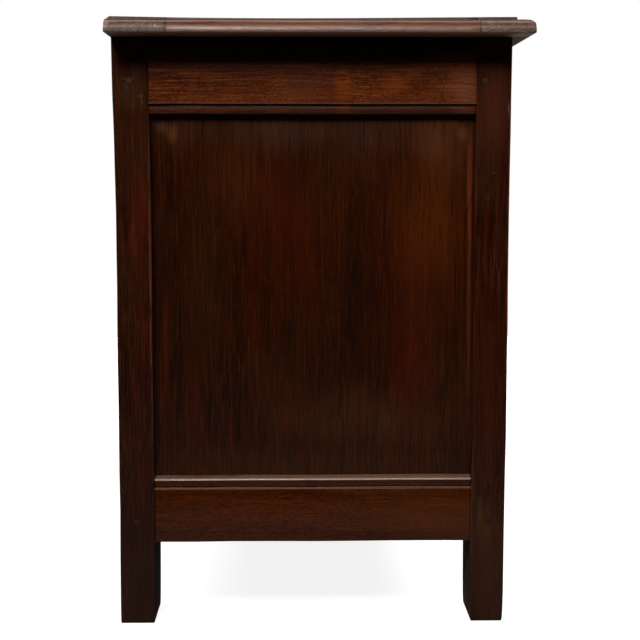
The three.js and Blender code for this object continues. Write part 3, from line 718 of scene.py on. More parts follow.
    # The unpolished inner sides of the feet, and dust with a painted sheen on faces that lie upward
    if foot:
        facing = kit.step((normal[X] * foot[0]).most(normal[Y] * foot[1]), 0.5, 0.9)
        unpolished = facing * (1 - kit.step(local[Z] + centre.z, FOOT - 3 * MM, FOOT))
        low_down = 1 - kit.step(local[Z] + centre.z, 0.0, 35 * MM)
        colour = kit.mix(unpolished * 0.85, colour, kit.mix(low_down * 0.6, FOOT_INSIDE, tone["light"]))
    if tone["dusty"]:
        lying = kit.step(normal[Z], 0.55, 0.95) * kit.step(polish + (threads - 0.5) * 0.5, 0.30, 0.50)
        colour = kit.mix(lying * tone["dusty"], colour, DUST_AND_SHEEN)

    height = line * 0.12 + planed * 1.6 + ray * 0.1 - pore * 0.14 + ends * pits * 1.2
    bump = kit.node("ShaderNodeBump", {"Height": height, "Strength": 0.8, "Distance": tone["bump"]})
    gloss = tone["roughness"] + (fibres - 0.5) * 0.08 + pore * 0.08 + (polish - 0.5) * 0.10 + ends * 0.25
    if dry:
        gloss = gloss + inner * 0.35
    if foot:
        gloss = gloss + unpolished * 0.7
    if tone["dusty"]:
        gloss = gloss + lying * 0.4
    shader = kit.node("ShaderNodeBsdfPrincipled", {
        "Base Color": colour, "Roughness": gloss, "Normal": bump, "Specular IOR Level": tone["specular"],
    })
    kit.node("ShaderNodeOutputMaterial", {"Surface": shader})
    return material


def wrought_iron():
    """Old black iron, hammered, with rust in the hollows and a rubbed shine on the high spots."""
    material, kit = new_material("wrought_iron")
    place = kit.node("ShaderNodeTexCoord", {}, "Object")
    hammered = kit.noise(kit.stretched(place, 160, 160), 2.0)
    scale = kit.noise(kit.stretched(place, 900, 900, (7, 3, 5)), 3.0, 0.65)
    rust = kit.step(kit.noise(kit.stretched(place, 230, 230, (2, 9, 4)), 4.0, 0.65), 0.52, 0.68)
    colour = kit.mix(kit.step(scale, 0.35, 0.7), paint(34, 31, 30), paint(66, 62, 60))
    height = hammered * 1.5 + scale * 0.5
    shader = kit.node("ShaderNodeBsdfPrincipled", {
        "Base Color": kit.mix(rust * 0.7, colour, paint(64, 36, 24)), "Metallic": 0.9 - rust * 0.6,
        "Roughness": 0.42 + rust * 0.3 + (scale - 0.5) * 0.2,
        "Normal": kit.node("ShaderNodeBump", {"Height": height, "Strength": 0.7, "Distance": 0.5 * MM}),
    })
    kit.node("ShaderNodeOutputMaterial", {"Surface": shader})
    return material


def finish(piece, body, slot, material, *nodes):
    """Smooths and finishes a piece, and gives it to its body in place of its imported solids."""
    take(piece)
    bpy.ops.object.shade_smooth_by_angle(angle=math.radians(SHARP_ANGLE))
    piece.data.materials.clear()
    piece.data.materials.append(material)
    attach(piece, body)
    if nodes:
        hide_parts(*nodes)


# The carcass


def end_peg_nodes(end):
    """The names of the four pegs on an end of the chest."""
    return [f"{side}_{end}_{level}_peg" for side in ("front", "back") for level in ("top", "bottom")]


def peg_places():
    """Every peg of the carcass, as its wall, its place along the wall and its height."""
    places = {name: [] for name in WALLS}
    heights = [BODY_TOP - share * (BODY_TOP - TOP_SIGHT) for share in (0.3, 0.68)]
    heights += [FOOT + share * (BOTTOM_SIGHT - FOOT) for share in (0.28, 0.66)]
    for name in ("front", "back"):
        for side in (-1, 1):
            places[name] += [(side * (INNER_END + PEG_INSET), height) for height in heights]
        for index in (1, 2):
            low, high = corner(f"{name}_muntin_{index}")
            for across in (0.36, 0.66):
                along = low.x + (high.x - low.x) * across
                places[name] += [(along, TOP_SIGHT + PEG_OVER_SIGHT), (along, BOTTOM_SIGHT - PEG_UNDER_SIGHT)]
    for end in ("left", "right"):
        for node in end_peg_nodes(end):
            low, high = corner(node)
            places[end].append(((low.y + high.y) / 2, (low.z + high.z) / 2))
    return places


PEGS = peg_places()


def cap(piece, facing, inset, rise):
    """Dresses the end of a peg: its face is drawn in and raised, and its arrises are eased."""
    with Editing(piece, "FACE") as edit:
        edit.pick(lambda _, normal: normal.dot(facing) > 0.9)
        bpy.ops.mesh.inset(thickness=inset)
        shift(facing * rise)
    ease(piece, ARRIS["peg"], 1, 40)


def peg(name, wall, along, height):
    """A riven oak peg, driven home and left standing a hair proud."""
    dice = random.Random(f"{name} {along:.4f} {height:.4f}")
    outer = wall_point(wall, along, -PEG_PROUD, height)
    inner = wall_point(wall, along, PEG_LENGTH, height)
    piece = rod(name, inner, outer, PEG_RADIUS, PEG_SIDES)

    def beyond(point, turn):
        """How far round the peg a point stands from a turn."""
        at = math.atan2(point.z - height, point[wall["lies"]] - along)
        return abs(math.remainder(at - turn, 2 * math.pi))

    with Editing(piece) as edit:
        for step in range(PEG_SIDES):
            turn = 2 * math.pi * step / PEG_SIDES
            edit.pick(lambda point: beyond(point, turn) < math.pi / PEG_SIDES)
            pull = dice.uniform(-0.09, 0.05) * PEG_RADIUS
            shift(wall_step(wall, pull * math.cos(turn), 0, pull * math.sin(turn)))
    cap(piece, wall_step(wall, 0, -1, 0), 0.9 * MM, 0.05 * MM)
    return piece


def peg_holes(wall_name, keep):
    """Rods that cut the holes of one piece's pegs."""
    wall = WALLS[wall_name]
    holes = []
    for along, height in PEGS[wall_name]:
        if keep(along, height):
            outer = wall_point(wall, along, -CUTTER_SPARE, height)
            inner = wall_point(wall, along, PEG_LENGTH, height)
            holes.append(rod("hole", outer, inner, PEG_HOLE, 20))
    return holes


def rail_section(height, moulded, floor_groove, reach, rise, thumb):
    """A rail's section from its plain edge to its grooved edge: depth behind the face, and height."""
    plain, slope = height - reach, QUIRK + SLOPE_DEPTH
    points = [(0, 0), (0, height)]
    if moulded:
        points = [(0, 0), (0, plain), (slope, plain), (slope, plain + QUIRK_HEIGHT)]
        points.append((QUIRK, plain + QUIRK_HEIGHT + SLOPE_HEIGHT))
        for step in range(THUMB_STEPS + 1):
            turn = math.pi / 2 * step / THUMB_STEPS
            depth = QUIRK + THUMB_DEPTH * (1 - math.cos(turn))
            points.append((depth, height - rise - thumb * (1 - math.sin(turn))))
    points += [
        (GROOVE_FRONT, height), (GROOVE_FRONT, height - GROOVE_DEPTH), (GROOVE_BACK, height - GROOVE_DEPTH),
        (GROOVE_BACK, height), (RAIL_THICKNESS, height),
    ]
    if floor_groove:
        board_low, board_high = corner("floor_board_3")
        low, high = board_low.z - FOOT - GAP, board_high.z - FOOT + GAP
        inner = RAIL_THICKNESS - FLOOR_GROOVE - GAP
        points += [(RAIL_THICKNESS, high), (inner, high), (inner, low), (RAIL_THICKNESS, low)]
    points.append((RAIL_THICKNESS, 0))
    return points


def bow(post, z):
    """How far inward, towards the middle of its end, a stile has bent at a height."""
    heights = BOWS[post]
    for (low, first), (high, second) in zip(heights, heights[1:]):
        if z <= high:
            return (first + (second - first) * (z - low) / (high - low)) * MM
    return 0


def rail(wall_name, level):
    """A rail between two stiles, cut back where they have bent."""
    wall = WALLS[wall_name]
    top = level == "top"
    height = BODY_TOP - TOP_SIGHT if top else BOTTOM_SIGHT - FOOT
    start, end = wall["reach"][0] + GAP, wall["reach"][1] - GAP
    if wall["lies"] == Y:
        middle = (BODY_TOP + TOP_SIGHT) / 2 if top else (BOTTOM_SIGHT + FOOT) / 2
        start += bow(f"front_{wall_name}", middle)
        end -= bow(f"back_{wall_name}", middle) + BROADER.get(f"back_{wall_name}", 0)
    section = rail_section(height, wall_name != "back", not top, **(TOP_THUMB if top else BOTTOM_THUMB))
    points = [wall_point(wall, start, depth, BODY_TOP - up if top else FOOT + up) for depth, up in section]
    run = wall_point(wall, end, 0, 0) - wall_point(wall, start, 0, 0)
    piece = drawn(f"{wall_name}_{level}_rail_wood", points, run)
    waver(piece, wall["lies"], spaced(start, end, 7 if wall["lies"] == Y else 13))
    ease(piece, ARRIS["rail"], 2, 40)
    return piece


def stile(end_name, side_name):
    """A corner post: worn at its foot, bent with age, and cut for the pegs and panels."""
    post = f"{side_name}_{end_name}"
    low, high = corner(f"{post}_stile")
    low.y -= BROADER.get(post, 0)
    piece = block(f"{post}_stile_wood", low, high)
    worn_levels = [height for height, _ in FOOT_WEAR]
    cut_across(piece, Z, worn_levels[1:])
    levels = spaced(0.05, BODY_TOP - 0.02, 13)
    waver(piece, Z, levels)
    wear_foot(piece, low, high, side_name, end_name)
    sign_x = -WALLS[end_name]["inward"]
    sign_y = -WALLS[side_name]["inward"]
    with Editing(piece) as edit:
        for level in (*worn_levels, *levels):
            edit.pick(level_with(Z, level))
            shift((0, -sign_y * bow(post, level), 0))
    ease(piece, ARRIS["stile"], 3, 60)
    cutters = peg_holes(end_name, lambda along, _: (along - MIDDLE_Y) * sign_y > 0)
    cutters += peg_holes(side_name, lambda along, _: along * sign_x > INNER_END)
    inner_y = INNER_BACK if side_name == "back" else INNER_FRONT
    for wall, edge, sign in (
        (WALLS[end_name], inner_y, sign_y), (WALLS[side_name], sign_x * INNER_END, sign_x),
    ):
        first = edge - sign * 2 * CUTTER_SPARE, GROOVE_FRONT, BOTTOM_SIGHT - GROOVE_DEPTH
        last = edge + sign * GROOVE_DEPTH, GROOVE_BACK, TOP_SIGHT + GROOVE_DEPTH
        cutters.append(wall_block("groove", wall, first, last))
    carve(piece, cutters)
    return piece


def wear_foot(piece, low, high, side_name, end_name):
    """The feet are rubbed away towards the floor, the front left one most."""
    worn = 1.9 * MM if (side_name, end_name) == ("front", "left") else 0.8 * MM
    sign_y = -WALLS[side_name]["inward"]
    outer_y, inner_y = (high.y, low.y) if side_name == "back" else (low.y, high.y)
    with Editing(piece) as edit:
        for height, share in FOOT_WEAR:
            for axis, edge, inward in (
                (Y, outer_y, -sign_y), (Y, inner_y, sign_y * 0.55), (X, low.x, 0.6), (X, high.x, -0.6),
            ):
                at_height, at_edge = level_with(Z, height, 0.1 * MM), level_with(axis, edge, 0.1 * MM)
                edit.pick(lambda point: at_height(point) and at_edge(point))
                step = Vector((0, 0, 0))
                step[axis] = inward * worn * share
                shift(step)


def muntin(wall_name, index, rails):
    """An upright between two panels. The front ones are scribed over the moulded rails."""
    wall = WALLS[wall_name]
    low, high = corner(f"{wall_name}_muntin_{index}")
    left, right = low.x, high.x
    inner = GROOVE_DEPTH
    section = [
        (left, 0), (right, 0), (right, GROOVE_FRONT), (right - inner, GROOVE_FRONT),
        (right - inner, GROOVE_BACK), (right, GROOVE_BACK), (right, RAIL_THICKNESS),
        (left, RAIL_THICKNESS), (left, GROOVE_BACK), (left + inner, GROOVE_BACK),
        (left + inner, GROOVE_FRONT), (left, GROOVE_FRONT),
    ]
    bottom, top = BOTTOM_SIGHT + GAP, TOP_SIGHT - GAP
    if wall_name == "front":
        bottom -= BOTTOM_THUMB["reach"]
        top += TOP_THUMB["reach"]
    points = [wall_point(wall, along, depth, bottom) for along, depth in section]
    piece = drawn(f"{wall_name}_muntin_{index}_wood", points, Vector((0, 0, top - bottom)))
    waver(piece, Z, spaced(bottom, top, 9))
    ease(piece, ARRIS["muntin"], 2, 60)
    if wall_name == "front":
        carve(piece, [copy_of(other, "scribe") for other in rails])
    return piece


def panel(wall_name, name, start, end):
    """A panel: a tongue all round, and a field that stands thicker behind it. Its face isn't quite flat."""
    wall = WALLS[wall_name]
    first = start - TONGUE_REACH, PANEL_RECESS, BOTTOM_SIGHT - TONGUE_REACH
    last = end + TONGUE_REACH, PANEL_BACK, TOP_SIGHT + TONGUE_REACH
    piece = wall_block(f"{name}_wood", wall, first, last)
    with Editing(piece, "FACE") as edit:
        edit.pick(lambda _, normal: normal.dot(wall_step(wall, 0, 1, 0)) > 0.9)
        bpy.ops.mesh.inset(thickness=GROOVE_DEPTH + FIELD_INSET)
        field = wall_step(wall, 0, PANEL_STEP, 0)
        bpy.ops.mesh.extrude_region_move(TRANSFORM_OT_translate={"value": field})
    waver(piece, wall["lies"], spaced(start, end, 11), 0.28 * MM, (Z,))
    return piece


def floor_board(index):
    """A board of the floor, notched round the stiles that it meets."""
    low, high = corner(f"floor_board_{index}")
    piece = block(f"floor_board_{index}_wood", low, high)
    waver(piece, Y, spaced(low.y, high.y, 7), flat=(Z,))
    ease(piece, ARRIS["board"], 2)
    notches = []
    room = Vector((GAP, GAP, 0))
    for post in BOWS:
        stile_low, stile_high = corner(f"{post}_stile")
        if stile_low.x - GAP < high.x and stile_high.x + GAP > low.x:
            notches.append(block("notch", stile_low - room, stile_high + room))
    if notches:
        carve(piece, notches)
    return piece


# The lid


def arc(centre, radii, start, end):
    """Points of an oval's outline from one turn to another."""
    return [
        (centre[0] + radii[0] * math.cos(turn), centre[1] + radii[1] * math.sin(turn))
        for turn in (start + (end - start) * step / LID_ROUND_STEPS for step in range(LID_ROUND_STEPS + 1))
    ]


def under_arc():
    """The small round under the lid's edge."""
    return arc((LID_UNDER, LID_UNDER), (LID_UNDER, LID_UNDER), -math.pi / 2, -math.pi)


def thumb_edge(width, flat, nose):
    """The lid's moulded edge: distance in from the tip, and height over the underside."""
    thickness = LID_TOP - LID_LOW
    shoulder = thickness - LID_STEP
    reach = width - flat
    over = arc((reach, shoulder - nose), (reach, nose), math.pi, math.pi / 2)
    return [*under_arc(), *over, (width, shoulder + 0.2 * MM), (width, thickness)]


def back_edge():
    """The lid's back edge, which is only rounded."""
    radii = LID_BACK_WIDTH, LID_BACK_HEIGHT
    centre = LID_BACK_WIDTH, LID_TOP - LID_LOW - LID_BACK_HEIGHT
    return [*under_arc(), *arc(centre, radii, math.pi, math.pi / 2)]


def hollow(y):
    """How far use has hollowed the lid's top, most a little behind its middle."""
    start, end = LID_FRONT + LID_FRONT_THUMB["width"], LID_BACK - LID_BACK_WIDTH
    share = min(max((y - start) / (end - start), 0), 1)
    return LID_HOLLOW * math.sin(math.pi * share ** 1.35)


def lid_shape():
    """The lid's outside: a moulded length crossed with a moulded width, and hollowed by use on top."""
    front_edge, end_edge = thumb_edge(**LID_FRONT_THUMB), thumb_edge(**LID_END_THUMB)
    front = [Vector((-LID_END - MM, LID_FRONT + inward, LID_LOW + up)) for inward, up in front_edge]
    back = [Vector((-LID_END - MM, LID_BACK - inward, LID_LOW + up)) for inward, up in reversed(back_edge())]
    lengthwise = drawn("lid_shape", [*front, *back], Vector((2 * (LID_END + MM), 0, 0)))
    left = [Vector((-LID_END + inward, LID_FRONT - MM, LID_LOW + up)) for inward, up in end_edge]
    right = [Vector((LID_END - inward, LID_FRONT - MM, LID_LOW + up)) for inward, up in reversed(end_edge)]
    crosswise = drawn("crosswise", [*left, *right], Vector((0, LID_BACK - LID_FRONT + 2 * MM, 0)))
    carve(lengthwise, [crosswise], "INTERSECT")
    rows = spaced(LID_FRONT + LID_FRONT_THUMB["width"], LID_BACK - LID_BACK_WIDTH, 15)
    side = LID_END - LID_END_THUMB["width"]
    columns = spaced(-side, side, 11)
    cut_across(lengthwise, Y, rows)
    cut_across(lengthwise, X, columns)
    dice = random.Random("lid")
    with Editing(lengthwise) as edit:
        for row in rows:
            in_row = level_with(Y, row, 0.05 * MM)
            edit.pick(lambda point: in_row(point) and point.z > LID_TOP - 0.1 * MM)
            shift((0, 0, -hollow(row)))
            for column in columns:
                in_column = level_with(X, column, 0.05 * MM)
                edit.pick(lambda point: in_row(point) and in_column(point) and point.z > LID_TOP - 3 * MM)
                shift((0, 0, dice.uniform(-0.3, 0.12) * MM))
    return lengthwise


def lid_groove(start_x, end_x, start_y, end_y):
    """A cutter for a panel's groove in the lid's frame."""
    low, high = corner("lid_panel_1")
    return block("groove", (start_x, start_y, low.z - GAP), (end_x, end_y, high.z + GAP))


def lid_peg(x, y):
    """A lid peg, seen on top as a small darker end-grain disc."""
    dice = random.Random(f"lid peg {x:.3f} {y:.3f}")
    top = LID_TOP - hollow(y) + 0.25 * MM
    radius = PEG_RADIUS * dice.uniform(0.9, 1.02)
    piece = rod("lid_peg", (x, y, LID_LOW + 3 * MM), (x, y, top), radius, PEG_SIDES)
    cap(piece, Vector((0, 0, 1)), 0.8 * MM, 0.2 * MM)
    return piece


HINGES = ("left", "right")
BARREL_ROOM = 4.5 * MM  # radius of the notch that a hinge barrel turns in


def barrel_notches():
    """The round notches that the hinge barrels turn in."""
    notches = []
    for side in HINGES:
        low, high = corner(f"{side}_hinge_pin")
        y, z = (low.y + high.y) / 2, (low.z + high.z) / 2
        notches.append(rod("notch", (low.x - GAP, y, z), (high.x + GAP, y, z), BARREL_ROOM, 32))
    return notches


def lid_frame(shape, bars, edges):
    """The lid's rails and muntins, each cut from the one moulded shape and grooved for its panels."""
    inner_front, inner_back = LID_INNER_FRONT, LID_INNER_BACK
    spare = 4 * MM
    front_groove = inner_front - LID_GROOVE, inner_front + spare
    back_groove = inner_back - spare, inner_back + LID_GROOVE
    made = {}

    def bar(name, start_x, end_x, start_y, end_y):
        low, high = (start_x, start_y, LID_LOW - spare), (end_x, end_y, LID_TOP + spare)
        made[name] = block(f"{name}_wood", low, high)
        carve(made[name], [copy_of(shape, "shape")], "INTERSECT")
        return made[name]

    for name, start_y, end_y, groove_y in (
        ("lid_front_rail", LID_FRONT - spare, inner_front, front_groove),
        ("lid_back_rail", inner_back, LID_BACK + spare, back_groove),
    ):
        piece = bar(name, -LID_END - spare, LID_END + spare, start_y, end_y)
        for (_, start), (end, _) in zip(edges, edges[1:]):
            carve(piece, [lid_groove(start - LID_GROOVE, end + LID_GROOVE, *groove_y)])
    for name, (start, end) in zip(bars, edges):
        piece = bar(name, start, end, inner_front + GAP, inner_back - GAP)
        if name != "lid_right_rail":
            carve(piece, [lid_groove(end - LID_GROOVE, end + spare, LID_FRONT, LID_BACK)])
        if name != "lid_left_rail":
            carve(piece, [lid_groove(start - spare, start + LID_GROOVE, LID_FRONT, LID_BACK)])
    carve(made["lid_front_rail"], [leaf_recess("lid_staple", corner("lid_staple")[1].y + GAP)])
    straps = [f"{side}_hinge_strap" for side in HINGES]
    carve(made["lid_back_rail"], [leaf_recess(strap, corner(strap)[1].y - 4 * MM) for strap in straps])
    carve(made["lid_back_rail"], barrel_notches())
    for piece in made.values():
        ease(piece, ARRIS["lid"], 2, 40)
    return made


def lid_pieces():
    """The lid's frame, its panels and its pegs."""
    bars = ["lid_left_rail", "lid_muntin_1", "lid_muntin_2", "lid_right_rail"]
    edges = [(corner(name)[0].x, corner(name)[1].x) for name in bars]
    shape = lid_shape()
    made = lid_frame(shape, bars, edges)
    bpy.data.objects.remove(shape)
    for index in (1, 2, 3):
        name = f"lid_panel_{index}"
        low, high = corner(name)
        made[name] = block(f"{name}_wood", low, high)
        waver(made[name], Y, spaced(low.y, high.y, 9), 0.25 * MM, (X,))
    pegs = []
    insets = (40, 18), (20, 20), (20, 20), (18, 40)  # of the pegs from each bar's two sides, in millimetres
    for (start, end), (first, last) in zip(edges, insets):
        for x in (start + first * MM, end - last * MM):
            for y in (LID_INNER_FRONT - 14 * MM, LID_INNER_BACK + 15 * MM):
                pegs.append(lid_peg(x, y))
    made["lid_pegs"] = joined("lid_pegs", pegs)
    return made


def leaf_recess(node, end_y):
    """The room that an iron leaf needs in the lid's underside."""
    low, high = corner(node)
    leaf = 2 * MM
    return block(
        "recess", (low.x - GAP, low.y - GAP, LID_LOW - leaf), (high.x + GAP, end_y, LID_LOW + leaf + GAP),
    )


# Ironwork

BOW_REACH = 12.5 * MM  # from the top of the key's bow to the axis of its shank


def softened(node, width):
    """A copy of a packed iron solid, cleaned up and with its edges filed off."""
    piece = copy_of(frame["nodes"][node], f"{node}_iron")
    piece.parent = None
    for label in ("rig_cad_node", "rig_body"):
        if label in piece:
            del piece[label]
    with Editing(piece) as edit:
        edit.all()
        bpy.ops.mesh.remove_doubles(threshold=0.01 * MM)
        bpy.ops.mesh.dissolve_limited(angle_limit=math.radians(1))
    ease(piece, width, 2, 30)
    return piece


def nail(at, out, radius, proud, seed):
    """A hand-made nail's head: a low faceted cap on a short shank."""
    dice = random.Random(seed)
    at, out = Vector(at), Vector(out)
    piece = rod("nail", at - out * 1.2 * MM, at + out * proud * 0.3, radius, 7)
    with Editing(piece, "FACE") as edit:
        edit.pick(lambda _, normal: normal.dot(out) > 0.9)
        bpy.ops.mesh.inset(thickness=radius * 0.45)
        shift(out * proud * 0.7)
        shift([dice.uniform(-0.1, 0.1) * radius * (1 - abs(part)) for part in out])
    ease(piece, 0.12 * MM, 1, 20)
    return piece


def nails(name, places, out, radius, proud):
    """The nails of one plate, each head a little different."""
    made = [nail(at, out, radius, proud, f"{name} {number}") for number, at in enumerate(places)]
    return joined(name, made)


def key_piece():
    """The key: a ring bow, a turned collar and shank, and a bit with its wards cut."""
    low, high = corner("key")
    axis_z = high.z - BOW_REACH
    bow_y = low.y + 6 * MM
    bow_middle = 0, bow_y, axis_z
    deselect()
    bpy.ops.mesh.primitive_torus_add(
        location=bow_middle, rotation=(0, math.pi / 2, 0), major_segments=40, minor_segments=14,
        major_radius=10.8 * MM, minor_radius=1.7 * MM,
    )
    bow = fixed(bpy.context.object, "bow")
    with Editing(bow) as edit:
        edit.all()
        bpy.ops.transform.resize(value=(1, 0.48, 1), center_override=bow_middle)
    shank = rod("shank", (0, bow_y + 4.2 * MM, axis_z), (0, high.y, axis_z), 2.9 * MM, 24)
    collar_y = FRONT - 2.3 * MM
    cut_across(shank, Y, [collar_y - step * MM for step in (0.2, 0.9, 1.6, 2.3, 4.4)])
    with Editing(shank) as edit:
        for step, grow in ((0.9, 1.5), (1.6, 1.5), (4.4, 1.25)):
            edit.pick(level_with(Y, collar_y - step * MM, 0.05 * MM))
            bpy.ops.transform.resize(value=(grow, 1, grow), center_override=(0, collar_y, axis_z))
    half = 1.5 * MM
    bit = block("bit", (-half, high.y - 12 * MM, axis_z - 13 * MM), (half, high.y - 0.6 * MM, axis_z))
    wards = []
    for start, end, deep in ((8.2, 6.9, 7), (4.4, 3.4, 9)):
        first = -2 * half, high.y - start * MM, axis_z - 14 * MM
        last = 2 * half, high.y - end * MM, axis_z - deep * MM
        wards.append(block("ward", first, last))
    carve(bit, wards)
    for piece in (bit, shank):
        ease(piece, ARRIS["iron"], 2, 40)
    return joined("key_iron", [shank, bow, bit])


def escutcheon_piece():
    """The key plate: clipped corners, filed edges and the keyhole."""
    low, high = corner("escutcheon")
    clip = (high.x - low.x) / 6
    outline = [
        (low.x, low.z + clip), (low.x + clip, low.z), (high.x - clip, low.z), (high.x, low.z + clip),
        (high.x, high.z - clip), (high.x - clip, high.z), (low.x + clip, high.z), (low.x, high.z - clip),
    ]
    points = [Vector((x, high.y, z)) for x, z in outline]
    piece = drawn("escutcheon_iron", points, Vector((0, low.y - high.y, 0)))
    with Editing(piece, "FACE") as edit:
        edit.pick(lambda _, normal: normal.y < -0.9)
        bpy.ops.mesh.inset(thickness=2.2 * MM)
        shift((0, -0.35 * MM, 0))
    ease(piece, ARRIS["iron"], 2, 25)
    for cutter in keyhole(low.y - 2 * CUTTER_SPARE, high.y + CUTTER_SPARE):
        carve(piece, [cutter])
    return piece


def keyhole(start_y, end_y):
    """The cutters of the keyhole: a round hole, and the slot under it."""
    axis_z = corner("key")[1].z - BOW_REACH
    hole = rod("hole", (0, start_y, axis_z), (0, end_y, axis_z), 3.3 * MM, 24)
    slot = block("slot", (-2 * MM, start_y, axis_z - 13.5 * MM), (2 * MM, end_y, axis_z))
    return hole, slot


# Marks on the end that the photograph shows: where the colour is deeper or paler, and what has been
# rubbed or knocked.
# Some marks are painted light and shade: the shadow under the lid, highlights on the lid's edge, the rails'
# mouldings and a stile's inner arris, and light on the lid's underside and the top of the panel.


def oval(at, size, colour, share, broken=0, ragged=0.3, soft=0.9):
    """An oval mark: its middle and half sizes, its colour and strength, how far the grain breaks it up, and
    how ragged and how soft its outline is."""
    return {
        "at": at, "size": size, "colour": colour, "share": share, "broken": broken, "ragged": ragged,
        "soft": soft,
    }


def mark(y, z, wide, high, *look, x=-END, deep=30, **more):
    """A mark on the end of the chest, in millimetres."""
    return oval((x, y * MM, z * MM), (deep * MM, wide * MM, high * MM), *look, **more)


def edge_mark(y, up, *rest, **more):
    """A mark on the end of the lid, at a height over its underside."""
    return mark(y, LID_LOW / MM + up, *rest, x=-LID_END, **more)


